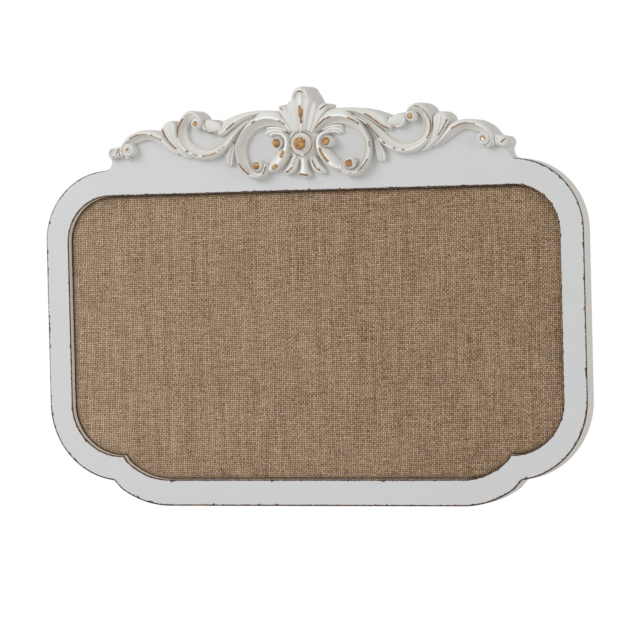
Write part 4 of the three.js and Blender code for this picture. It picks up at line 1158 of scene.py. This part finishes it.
make_pair("bud", [
    sweep([(98, 18.8, 2, 3.4, 4.2), (103, 21.8, 4.8, 5.4, 6), (109.5, 23.4, 6.4, 7.6, 6),
           (115, 23.6, 6.6, 7.4, 5.6), (121, 23.8, 5.4, 5.4, 5.4)], DOME, ends=(1, 0.7)),
    sweep([(120.8, 26.8, 1, 1, 6.6), (119.9, 22.6, 1.6, 1.6, 8.2), (117.2, 18.6, 1.7, 1.7, 8.4),
           (113.8, 16.6, 1.7, 1.7, 8.2), (109.6, 15.8, 1.6, 1.6, 7.4), (104.6, 16.6, 1.2, 1.2, 6.2)], ROUND),
])
make_pair("drop_leaf", [
    sweep([(84.5, 4, 2.5, 2.5, 4.5), (87.6, -5, 3.9, 3.9, 6), (90, -12, 5, 5, 6.4), (90.8, -17.5, 5, 5, 6),
           (91, -22.5, 3, 3, 4.5)], SCOOP),
])

# %% [markdown]
# ### Leaf sprays and tails
# A broad veined leaf with a raised outer ridge leans on the S-scroll. The tail leaves from under it, arches
# out and curls round a turned eye, and ends in small petals and a round lobe, hollowed on the left.

# %% Leaf sprays and tails
make_pair("leaf_spray", [
    sweep([(170, 24, 1.5, 4, 10), (167.5, 17.5, 2, 6, 10.5), (163, 10, 2.5, 6, 10), (157.5, 3.5, 3, 5.5, 9),
           (151, -2.5, 3, 4, 8), (143, -8.5, 2.5, 3, 6), (135, -11.5, 1, 1, 3)], FOLD),
    sweep([(162, 30.5, 7, 8, 9), (161, 20, 8, 8.5, 9.5), (157.5, 9, 6.5, 7, 9), (151.5, 0, 4.5, 5, 8),
           (143, -7.5, 3, 3, 6)], VEIN),
])
TAIL_EYE = (211, 0)
TAIL_LOBE = (231, -3.2)
eye_rows = [(8.2, -SINK, 0), (8.1, 2, 0.4), (7.5, 6, 0.6), (6.8, 9.2, 0.75), (6.2, 10.4, 0.9),
            (5.4, 10.8, 0.95), (4.7, 10.4, 0.7), (4.1, 10.3, 0.6), (3.5, 11.2, 0.9), (2.4, 12.4, 1),
            (1.2, 12.8, 1), (0.1, 12.9, 1)]
make_pair("tail_scroll", [
    sweep([(151, -7, 2, 2, 5), (160.5, -0.5, 3, 4, 7), (170.8, 9.5, 5, 7, 8.5), (177, 13.3, 4.5, 7, 9),
           (184, 15.8, 4, 6.3, 9.5), (192, 16.8, 4, 6.7, 9.5), (200, 15.9, 4, 8, 9.5),
           (208.5, 12.8, 4, 7.4, 10), (215, 8, 3.4, 6, 10), (219.5, 2, 2.5, 5, 10), (219.5, -4, 2, 4, 9.5),
           (215.5, -8.5, 2, 3, 9), (210.5, -9, 1.5, 2, 8)], {0: COVE, 7: COVE, 9: FOLD, 12: FOLD}),
    turned(TAIL_EYE, catmull(eye_rows, 44)),
])
dish_rows = [(6.3, -SINK, 0), (6.3, 3, 0.4), (6.1, 6, 0.7), (5.6, 7.5, 0.92), (5, 7.9, 1), (4.3, 7.3, 0.9),
             (3.2, 5.9, 0.88), (1.8, 5.1, 0.88), (0.1, 4.9, 0.88)]
lobe_rows = [(6.3, -SINK, 0), (6.3, 3, 0.4), (6, 5.6, 0.7), (5, 7, 0.85), (3.4, 7.6, 0.9), (0.1, 7.8, 0.9)]
petals = [
    sweep([(220, 0.4, 3, 3, 7), (226, 0.8, 2.8, 2.8, 7), (230.5, 0.8, 2, 2, 6.5)], DOME),
    sweep([(223.2, 0.5, 1.4, 1.4, 6), (225, -3.5, 2, 2, 8), (224.4, -8.6, 1.2, 1.2, 6)], ROUND),
    sweep([(220.6, 0, 1.4, 1.4, 6), (221.6, -4, 2, 2, 8), (220.4, -9, 1.2, 1.2, 6)], ROUND),
]
make_ornament("tail_tip_right", [turned(TAIL_LOBE, catmull(lobe_rows, 30)), *petals], 1)
make_ornament("tail_tip_left", [turned(TAIL_LOBE, catmull(dish_rows, 36)), *petals], -1)

# %% [markdown]
# ## Burlap
# Burlap is plain-woven jute with about eleven threads to the inch. The threads are uneven: thick and thin,
# light and dark along their length, with small holes where they cross. Modelling every thread would
# take millions of faces, so the weave is a formula in the material. With u and v counted in threads, the
# upright threads stand at t |sin(pi u)| + 0.4 sin(pi u) sin(pi v), and the level ones at t |sin(pi v)| less
# the same second term. Here t is the thread's thickness, from 0.5 to 0.7. The higher of the two shows.
# The low places of the weave and the holes are painted near black as painted shadow, and the cloth is
# painted paler towards the left as painted light from the key lamp's side.

# %% Burlap finish
THREAD_MM = 2.2
WOBBLE_MM = 26
WOBBLE_THREADS = 1.3
WARP_SLUB_MM = 90
WEFT_SLUB_MM = 25
THIN_THREAD = 0.5
THICK_THREAD = 0.7
LIFT = 0.4
# Every thread reads its own line of noise: its number times the way apart, plus the start
THREAD_APART = 3.37
THREAD_START = 0.41
SPECK_MM = 1.7
SPECK_SHARE = 0.72
CLOTH_CLOUD_MM = 60
CLOTH_CLOUD_SHARE = 0.04
# Painted light: how much paler the cloth's tone gets per metre towards the left, the key lamp's side.
PAINTED_SIDE_LIGHT = -0.085
DYE_DARK = 0.34
DYE_LIGHT = 0.66
# Painted shadow in the weave: fully near black up to the first height, gone from the second.
HOLE_SHADOW_HEIGHT = 0.2
SHADOW_FREE_HEIGHT = 0.76
WEAVE_DEPTH = 0.5


def woven_jute():
    """Jute: no gloss, roughness 0.95. Colour from the weave's height, as painted shadow low in the weave, and
    thread tones, painted paler to the left as painted light.
    """
    material, tree = new_material("plain-woven jute")
    coordinates = add_node(tree, "TexCoord").outputs["Object"]
    parts = add_node(tree, "SeparateXYZ", {0: coordinates})
    threads = {}
    for key, axis, along, seed, brightness, slub in (
            ("warp", "X", "Z", 3.0, 0.08, WARP_SLUB_MM), ("weft", "Z", "X", 11.0, -0.08, WEFT_SLUB_MM)):
        wobble = add_node(tree, "TexNoise",
                          {"Vector": coordinates, "Scale": 1 / (WOBBLE_MM * MM), "W": seed, "Detail": 1.0},
                          noise_dimensions="4D")
        shift = add_node(tree, "Math", {0: wobble.outputs["Fac"], 1: WOBBLE_THREADS}, operation="MULTIPLY")
        count = add_node(tree, "Math", {
            0: parts.outputs[axis], 1: 1 / (THREAD_MM * MM), 2: shift.outputs[0]}, operation="MULTIPLY_ADD")
        turn_angle = add_node(tree, "Math", {0: count.outputs[0], 1: math.pi}, operation="MULTIPLY")
        wave = add_node(tree, "Math", {0: turn_angle.outputs[0]}, operation="SINE")
        ridge = add_node(tree, "Math", {0: wave.outputs[0]}, operation="ABSOLUTE")
        number = add_node(tree, "Math", {0: count.outputs[0]}, operation="FLOOR")
        number = add_node(tree, "Math", {
            0: number.outputs[0], 1: THREAD_APART, 2: THREAD_START}, operation="MULTIPLY_ADD")
        run = add_node(tree, "Math", {0: parts.outputs[along], 1: 1 / (slub * MM)}, operation="MULTIPLY")
        spot = add_node(tree, "CombineXYZ", {0: number.outputs[0], 1: run.outputs[0], 2: seed})
        tone = add_node(tree, "TexNoise", {"Vector": spot.outputs[0], "Scale": 1.0, "Detail": 2.0})
        swell = add_node(tree, "MapRange", {
            "Value": tone.outputs["Fac"], "From Min": NOISE_LOW, "From Max": NOISE_HIGH,
            "To Min": THIN_THREAD, "To Max": THICK_THREAD})
        body = add_node(tree, "Math", {0: ridge.outputs[0], 1: swell.outputs[0]}, operation="MULTIPLY")
        shade = add_node(tree, "Math", {0: tone.outputs["Fac"], 1: brightness}, operation="ADD")
        threads[key] = {"wave": wave.outputs[0], "tone": shade.outputs[0], "body": body.outputs[0]}
    warp, weft = threads["warp"], threads["weft"]
    cross = add_node(tree, "Math", {0: warp["wave"], 1: weft["wave"]}, operation="MULTIPLY")
    lift = add_node(tree, "Math", {0: cross.outputs[0], 1: LIFT}, operation="MULTIPLY")
    warp_top = add_node(tree, "Math", {0: warp["body"], 1: lift.outputs[0]}, operation="ADD")
    weft_top = add_node(tree, "Math", {0: weft["body"], 1: lift.outputs[0]}, operation="SUBTRACT")
    height = add_node(tree, "Math", {0: warp_top.outputs[0], 1: weft_top.outputs[0]}, operation="MAXIMUM")
    over = add_node(tree, "Math", {
        0: warp_top.outputs[0], 1: weft_top.outputs[0]}, operation="GREATER_THAN")
    thread_tone = add_node(tree, "Mix", {"Factor": over.outputs[0], "A": weft["tone"], "B": warp["tone"]})
    speck = add_node(tree, "TexNoise",
                     {"Vector": coordinates, "Scale": 1 / (SPECK_MM * MM), "Detail": 2.0, "Roughness": 0.7})
    clouds = add_node(tree, "TexNoise",
                      {"Vector": coordinates, "Scale": 1 / (CLOTH_CLOUD_MM * MM), "Detail": 2.0})
    tone = add_node(tree, "Mix", {
        "Factor": SPECK_SHARE, "A": thread_tone.outputs["Result"], "B": speck.outputs["Fac"]})
    tone = add_node(tree, "Mix", {
        "Factor": CLOTH_CLOUD_SHARE, "A": tone.outputs["Result"], "B": clouds.outputs["Fac"]})
    # Painted light: the tone rises towards the left, where the key lamp is.
    side_lit_tone = add_node(tree, "Math", {
        0: parts.outputs["X"], 1: PAINTED_SIDE_LIGHT, 2: tone.outputs["Result"]}, operation="MULTIPLY_ADD")
    dye = add_node(tree, "ValToRGB", {"Fac": side_lit_tone.outputs[0]})
    set_shades(dye, DYE_DARK, DYE_LIGHT, ("#7a5730", "#e3c8aa"))
    # Painted shadow: the low places of the weave and the holes between threads are mixed towards near black.
    depth = add_node(tree, "MapRange", {
        "Value": height.outputs[0], "From Min": HOLE_SHADOW_HEIGHT, "From Max": SHADOW_FREE_HEIGHT})
    colour = add_node(tree, "Mix", {
        "Factor": depth.outputs[0], "A": linear("#2a190a"), "B": dye.outputs["Color"]}, data_type="RGBA")
    bump = add_node(tree, "Bump", {
        "Strength": 0.8, "Distance": WEAVE_DEPTH * MM, "Height": height.outputs[0]})
    shader = add_node(tree, "BsdfPrincipled", {
        "Base Color": colour.outputs["Result"], "Roughness": 0.95, "IOR": 1.5, "Specular IOR Level": 0.1,
        "Sheen Weight": 0.12, "Sheen Roughness": 0.6, "Normal": bump.outputs[0]})
    add_node(tree, "OutputMaterial", {"Surface": shader.outputs[0]})
    return material


burlap = woven_jute()
print("burlap finish:", burlap.name, f"at {THREAD_MM} mm a thread")

# %% [markdown]
# ## Burlap cover
# The cloth is stretched over the foam, wrapped round the core and stapled behind. Its face swells quickly
# from under the frame's lip and is flat in the middle. A taut cloth has no folds, so it needs no simulation.
# The skin is a stack of rings: shrunk towards a line in the middle, out to the lip, round the edge and in
# again behind as a hem. Solidify then gives it its thickness.

# %% Burlap cover
PANEL_CLEARANCE = 0.3
PANEL_OVERHANG = 7
PANEL_FRONT = -LIP - PANEL_CLEARANCE
PANEL_BACK = -THICKNESS + PANEL_CLEARANCE
CLOTH = 0.8
HEM = 26
CROWN = 5
CROWN_REACH = 30
CROWN_POWER = 14
FIELD_RINGS = 22
CROWN_RINGS = 16
CROWN_CROWDING = 1.5
FOLD_RADIUS = 1.6
FOLD_RINGS = 5
HEM_START = 4
HEM_RINGS = 8
SPINE_HALF = 130
SPINE_SHARE = 0.02
SPINE_HEIGHT = BOTTOM_RAIL + OPENING_HEIGHT / 2


def crown(inside):
    """How far the cloth swells forward: height times 1 - (1 - inside / reach) to the power."""
    return CROWN * (1 - (1 - np.clip(inside / CROWN_REACH, 0, 1)) ** CROWN_POWER)


def panel_rings(front, steps):
    """Rings of the crowned face, from the middle line out to the opening's edge, as points and relief."""
    edge = opening_outline(-CROWN_REACH)
    spine = np.stack([np.clip(edge[:, 0], -SPINE_HALF, SPINE_HALF), np.full(len(edge), SPINE_HEIGHT)], 1)
    shares = np.linspace(SPINE_SHARE, 1, FIELD_RINGS)[:-1]
    rings = [(spine + (edge - spine) * share, front + CROWN) for share in shares]
    return rings + [(opening_outline(-inside), front + crown(inside)) for inside in steps]


face_steps = CROWN_REACH * np.linspace(1, 0, CROWN_RINGS) ** CROWN_CROWDING
half_cloth = CLOTH / 2
rim = PANEL_OVERHANG - half_cloth
bend = np.radians(np.linspace(0, 90, FOLD_RINGS))
cover_rings = panel_rings(PANEL_FRONT - half_cloth, face_steps)
cover_rings += [(opening_outline(rim - FOLD_RADIUS * (1 - math.sin(a))),
                 PANEL_FRONT - half_cloth - FOLD_RADIUS * (1 - math.cos(a))) for a in bend]
cover_rings += [(opening_outline(rim - FOLD_RADIUS * (1 - math.cos(a))),
                 PANEL_BACK + half_cloth + FOLD_RADIUS * (1 - math.sin(a))) for a in bend]
cover_rings += [(opening_outline(rim - inset), PANEL_BACK + half_cloth)
                for inset in np.linspace(HEM_START, HEM, HEM_RINGS)]
points, quads, caps = skin(stack_rings(cover_rings))
cover_mesh = build_mesh("burlap_sheet", [(points, quads, caps[:1])], sharp_angle=60)
burlap_sheet = add_piece("burlap_sheet", cover_mesh, burlap, ["burlap_cover"])
thicken = burlap_sheet.modifiers.new("cloth thickness", "SOLIDIFY")
thicken.thickness = CLOTH * MM
thicken.offset = 0

# %% [markdown]
# ## Foam, core and staples
# Under the cloth lies a cream foam pad, and under that the soft fibreboard that holds the pins. The foam is a
# skin like the cloth's, one cloth thickness further back, down to the core's face. The CAD core is a flat
# plate, so it stays as it is with a new finish. Staples through the hem hold the cloth: each is a flat wire
# carried along a U, laid parallel to the panel's edge.

# %% Foam, core and staples
def plain_finish(name, colour, roughness, metallic=0.0, grain_mm=4.0, spread=0.08, bump_mm=0.0):
    """One colour whose roughness drifts with noise; metals keep the default IOR."""
    material, tree = new_material(name)
    coordinates = add_node(tree, "TexCoord").outputs["Object"]
    grain = add_node(tree, "TexNoise", {"Vector": coordinates, "Scale": 1 / (grain_mm * MM), "Detail": 4.0})
    gloss = add_node(tree, "MapRange", {
        "Value": grain.outputs["Fac"], "From Min": NOISE_LOW, "From Max": NOISE_HIGH,
        "To Min": roughness - spread, "To Max": roughness + spread})
    bump = add_node(tree, "Bump",
                    {"Strength": 0.5, "Distance": bump_mm * MM, "Height": grain.outputs["Fac"]})
    shader = add_node(tree, "BsdfPrincipled", {
        "Base Color": linear(colour), "Metallic": metallic, "Roughness": gloss.outputs[0],
        "Normal": bump.outputs[0]})
    add_node(tree, "OutputMaterial", {"Surface": shader.outputs[0]})
    return material


foam = plain_finish("open-cell foam", "#e6dcb4", 0.9, grain_mm=0.8, spread=0.05, bump_mm=0.4)
core_board = raw_fibreboard("soft fibreboard", "#c3ab86", "#9c835e", 1.6)
brass = plain_finish("brass-plated steel", "#c8a254", 0.32, metallic=1.0)
zinc = plain_finish("zinc-plated steel", "#bfc3c6", 0.36, metallic=1.0)
rubber = plain_finish("grey rubber", "#8d8a84", 0.6, grain_mm=1.5, spread=0.05, bump_mm=0.05)

FOAM_GAP = 0.3
foam_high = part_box("foam_pad")[1]
foam_back = FRONT - foam_high.y / MM
foam_grow = foam_high.x / MM - (HALF_WIDTH - STILE)
foam_front = PANEL_FRONT - CLOTH - FOAM_GAP
foam_rings = panel_rings(foam_front, face_steps)
foam_rings += [(opening_outline(foam_grow), foam_front), (opening_outline(foam_grow), foam_back)]
foam_mesh = build_mesh("foam_sheet", [skin(stack_rings(foam_rings))], sharp_angle=60)
foam_sheet = add_piece("foam_sheet", foam_mesh, foam, ["foam_pad"])

core = frame["nodes"]["pin_core"]
core.data.materials.clear()
core.data.materials.append(core_board)

STAPLE_PITCH = 45
STAPLE_WIDTH = 10
STAPLE_LEG = 5
STAPLE_INSET = 14
STAPLE_BEND = 0.5
STAPLE_WIRE = (0.9, 0.3)


def make_staples():
    """Staples spaced evenly along the hem; each ring of wire is a small rectangle square to the U."""
    line = opening_outline(PANEL_OVERHANG - STAPLE_INSET)
    line = np.vstack([line, line[:1]])
    gone = run_length(line)
    spots = np.arange(STAPLE_PITCH / 2, gone[-1], STAPLE_PITCH)
    here = np.stack([np.interp(spots, gone, line[:, k]) for k in (0, 1)], 1)
    ahead = np.stack([np.interp(spots + 1, gone, line[:, k]) for k in (0, 1)], 1)
    along = (ahead - here) / np.linalg.norm(ahead - here, axis=1)[:, None]
    side = np.stack([-along[:, 1], along[:, 0]], 1)
    half = STAPLE_WIDTH / 2
    back = PANEL_BACK - STAPLE_WIRE[1] / 2
    path = np.array([(-half, back + STAPLE_LEG), (-half, back + STAPLE_BEND), (-half + STAPLE_BEND, back),
                     (half - STAPLE_BEND, back), (half, back + STAPLE_BEND), (half, back + STAPLE_LEG)])
    normal = np.array([(-1, 0), (-1, -0.4), (-0.4, -1), (0.4, -1), (1, -0.4), (1, 0)])
    corners = np.array([(-1, -1), (1, -1), (1, 1), (-1, 1)]) * STAPLE_WIRE / np.array(2.0)
    run = path[:, None, 0] + corners[None, :, 1] * normal[:, None, 0]
    relief = path[:, None, 1] + corners[None, :, 1] * normal[:, None, 1]
    across = np.broadcast_to(corners[None, :, 0], run.shape)
    skins = [skin(place(p[0] + a[0] * run + s[0] * across, relief, p[1] + a[1] * run + s[1] * across))
             for p, a, s in zip(here, along, side)]
    return build_mesh("hem_staples", skins), len(spots)


staple_mesh, staple_count = make_staples()
add_piece("hem_staples", staple_mesh, zinc)
print(f"foam_sheet, pin_core and {staple_count} staples")

# %% [markdown]
# ## Hardware on the back
# Turn buttons hold the panel, D-rings on straps hang the board, and rubber bumpers keep it off the wall. Each
# is rebuilt at the place of its CAD node, so that it moves as that does. A screw is turned, and a cross is
# pressed into its head by lowering the rings there. A button is a plate with round ends.

# %% Screws and turn buttons
def upright_place(x, y, z):
    """Millimetres in the frame's own axes to metres."""
    return np.stack(np.broadcast_arrays(x, y, z), axis=-1) * MM


def box_mm(node):
    """A CAD node's box in millimetres: its low corner, its high corner and its middle."""
    low, high = (np.array(v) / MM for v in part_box(node))
    return low, high, (low + high) / 2


SCREW_HEAD = 2.0
SCREW_RIM = 0.45 * SCREW_HEAD
SCREW_EDGE = 0.1
SCREW_SHANK_RADIUS = 1.5
SCREW_POINT = 3.0
SCREW_AROUND = 72
HEAD_RINGS = 26
CROSS_LENGTH = 4.3
CROSS_WIDTH = 0.9
CROSS_DEPTH = 1.1
CROSS_RAMP = 0.15
CROSS_END_RAMP = 0.3
CROSS_TAPER = 0.4
BUTTON_EDGE = 0.2
BUTTON_END_POINTS = 20


def make_screw(node, finish, body):
    """Pan head: y = rim + dome sqrt(1 - (r / R)^2), less a cross whose arms have short ramps for walls."""
    low, high, centre = box_mm(node)
    radius = (high[0] - low[0]) / 2
    under = high[1] - SCREW_HEAD
    lower = [(SCREW_EDGE, low[1]), (SCREW_SHANK_RADIUS, low[1] + SCREW_POINT), (SCREW_SHANK_RADIUS, under),
             (radius - SCREW_EDGE, under), (radius, under + SCREW_EDGE), (radius, under + SCREW_RIM)]
    r = np.concatenate([[row[0] for row in lower], np.linspace(0.985, 0.02, HEAD_RINGS) * radius])[:, None]
    angle = full_turn(SCREW_AROUND)
    across = r * np.cos(angle)
    upward = r * np.sin(angle)
    dome = under + SCREW_RIM + (SCREW_HEAD - SCREW_RIM) * np.sqrt(np.clip(1 - (r / radius) ** 2, 0, 1))
    y = np.broadcast_to(dome, across.shape).copy()
    y[:len(lower)] = np.array([row[1] for row in lower])[:, None]
    near = np.minimum(abs(across), abs(upward))
    far = np.maximum(abs(across), abs(upward))
    cross = np.clip((CROSS_WIDTH / 2 - near) / CROSS_RAMP + 0.5, 0, 1)
    cross *= np.clip((CROSS_LENGTH / 2 - far) / CROSS_END_RAMP + 0.5, 0, 1)
    y[len(lower):] -= (CROSS_DEPTH * cross * (1 - CROSS_TAPER * far / CROSS_LENGTH))[len(lower):]
    mesh = build_mesh(f"{node}_turned", [skin(upright_place(centre[0] + across, y, centre[2] + upward))], 40)
    add_piece(f"{node}_turned", mesh, finish, [node], body)


def make_button(node, pivot):
    """Stadium plate from the pivot towards the panel, with small chamfers on its edges."""
    low, high, centre = box_mm(node)
    reach = centre[[0, 2]] - pivot[[0, 2]]
    way = reach / np.linalg.norm(reach)
    half = min(high[0] - low[0], high[2] - low[2]) / 2
    length = max(high[0] - low[0], high[2] - low[2]) - 2 * half
    edge = BUTTON_EDGE
    rings = []
    for inset, y in ((edge, low[1]), (0, low[1] + edge), (0, high[1] - edge), (edge, high[1])):
        outline = np.concatenate([arc(length, 0, half - inset, -90, 90, BUTTON_END_POINTS),
                                  arc(0, 0, half - inset, 90, 270, BUTTON_END_POINTS)])
        x = pivot[0] + outline[:, 0] * way[0] - outline[:, 1] * way[1]
        z = pivot[2] + outline[:, 0] * way[1] + outline[:, 1] * way[0]
        rings.append(upright_place(x, y, z))
    mesh = build_mesh(f"{node}_plate", [skin(np.stack(rings))], 30)
    add_piece(f"{node}_plate", mesh, brass, [node], node.replace("turn_button", "button"))


joint_place = {joint["child"]: np.array(joint["pos_m"]) / MM for joint in frame["joints"]}
for spot in ("top_left", "top_right", "bottom_left", "bottom_right", "side_left", "side_right"):
    make_button(f"turn_button_{spot}", joint_place[f"button_{spot}"])
    make_screw(f"button_screw_{spot}", brass, "board")
print("six turn buttons and their screws")

# %% [markdown]
# ### Hangers and bumpers
# A strap is a flat band with a round foot, rolled round the ring's bar: a thin rectangle carried along that
# path has the same thickness everywhere. A ring is one closed wire, so its stack of rings has no ends. A
# bumper is a turned dome.

# %% Hangers and bumpers
STRAP_THICKNESS = 1.1
STRAP_RINGS = 40
STRAP_CROWDING = 1.5
STRAP_TIP = 0.02
EYE_TURN = 300
WIRE_RADIUS = 1.2
WIRE_AROUND = 16
RING_HALF_WIDTH = 10
RING_LEG = 4
RING_CORNER = 3
BUMPER_ROWS = [(1, 0), (1, 0.3), (0.985, 0.6), (0.92, 0.85), (0.8, 0.97), (0.66, 1), (0.3, 1), (0.02, 1)]
BUMPER_RINGS = 30
BUMPER_AROUND = 48


def make_strap(node, axis):
    """Band along the board and round the eye: half-width w, rounded at the foot by sqrt(w^2 - (w - s)^2)."""
    low, high, _ = box_mm(node)
    half = (high[0] - low[0]) / 2
    radius = axis[1] - low[1] - STRAP_THICKNESS / 2
    flat = np.linspace(0, 1, STRAP_RINGS) ** STRAP_CROWDING * (axis[2] - low[2])
    turn_angle = np.radians(np.linspace(180, 180 - EYE_TURN, STRAP_RINGS))[1:]
    y = np.concatenate([np.full(STRAP_RINGS, axis[1] - radius), axis[1] + radius * np.cos(turn_angle)])
    z = np.concatenate([low[2] + flat, axis[2] + radius * np.sin(turn_angle)])
    outward = right_of(np.stack([np.gradient(y), np.gradient(z)], 1))
    gone = np.concatenate([flat, np.full(len(turn_angle), flat[-1])])
    width = half * np.sqrt(1 - (1 - np.clip(gone / half, STRAP_TIP, 1)) ** 2)
    corner = np.array([(1, 0.5), (0.96, 1), (-0.96, 1), (-1, 0.5),
                       (-1, -0.5), (-0.96, -1), (0.96, -1), (1, -0.5)])
    out = corner[:, 1] * STRAP_THICKNESS / 2
    x = axis[0] + width[:, None] * corner[:, 0]
    rings = upright_place(x, y[:, None] + outward[:, 0:1] * out, z[:, None] + outward[:, 1:2] * out)
    mesh = build_mesh(f"{node}_band", [skin(rings)], 40)
    add_piece(f"{node}_band", mesh, zinc, [node])


def make_ring(node, axis):
    """Round wire along a closed D: a half circle below, short legs and a straight bar with round corners."""
    flat = RING_HALF_WIDTH - RING_CORNER
    path = np.concatenate([
        arc(0, -RING_LEG, RING_HALF_WIDTH, -180, 0, 48),
        arc(flat, -RING_CORNER, RING_CORNER, 0, 90, 10),
        arc(-flat, -RING_CORNER, RING_CORNER, 90, 180, 10),
    ])
    normal = right_of(np.roll(path, -1, 0) - np.roll(path, 1, 0))
    angle = full_turn(WIRE_AROUND)
    out = WIRE_RADIUS * np.cos(angle)
    x = axis[0] + path[:, :1] + normal[:, :1] * out
    z = axis[2] + path[:, 1:] + normal[:, 1:] * out
    rings = upright_place(x, axis[1] + WIRE_RADIUS * np.sin(angle), z)
    mesh = build_mesh(f"{node}_wire", [skin(rings, loop=True)])
    add_piece(f"{node}_wire", mesh, zinc, [node], node.replace("hanger_", ""))


def make_bumper(node):
    """Turned dome: straight to about half its height, then rounding in to two thirds of its radius."""
    low, high, centre = box_mm(node)
    radius = (high[0] - low[0]) / 2
    height = high[1] - low[1]
    rows = catmull(BUMPER_ROWS, BUMPER_RINGS)
    angle = full_turn(BUMPER_AROUND)
    r = radius * rows[:, :1]
    rings = upright_place(centre[0] + r * np.cos(angle), low[1] + height * np.clip(rows[:, 1:], 0, 1),
                          centre[2] + r * np.sin(angle))
    mesh = build_mesh(f"{node}_dome", [skin(rings)])
    add_piece(f"{node}_dome", mesh, rubber, [node])


for label in ("left", "right"):
    make_strap(f"hanger_strap_{label}", joint_place[f"ring_{label}"])
    make_ring(f"hanger_ring_{label}", joint_place[f"ring_{label}"])
    for rank in ("upper", "lower"):
        make_screw(f"hanger_screw_{label}_{rank}", zinc, "board")
        make_bumper(f"bumper_{rank}_{label}")
print("two hangers and four bumpers")
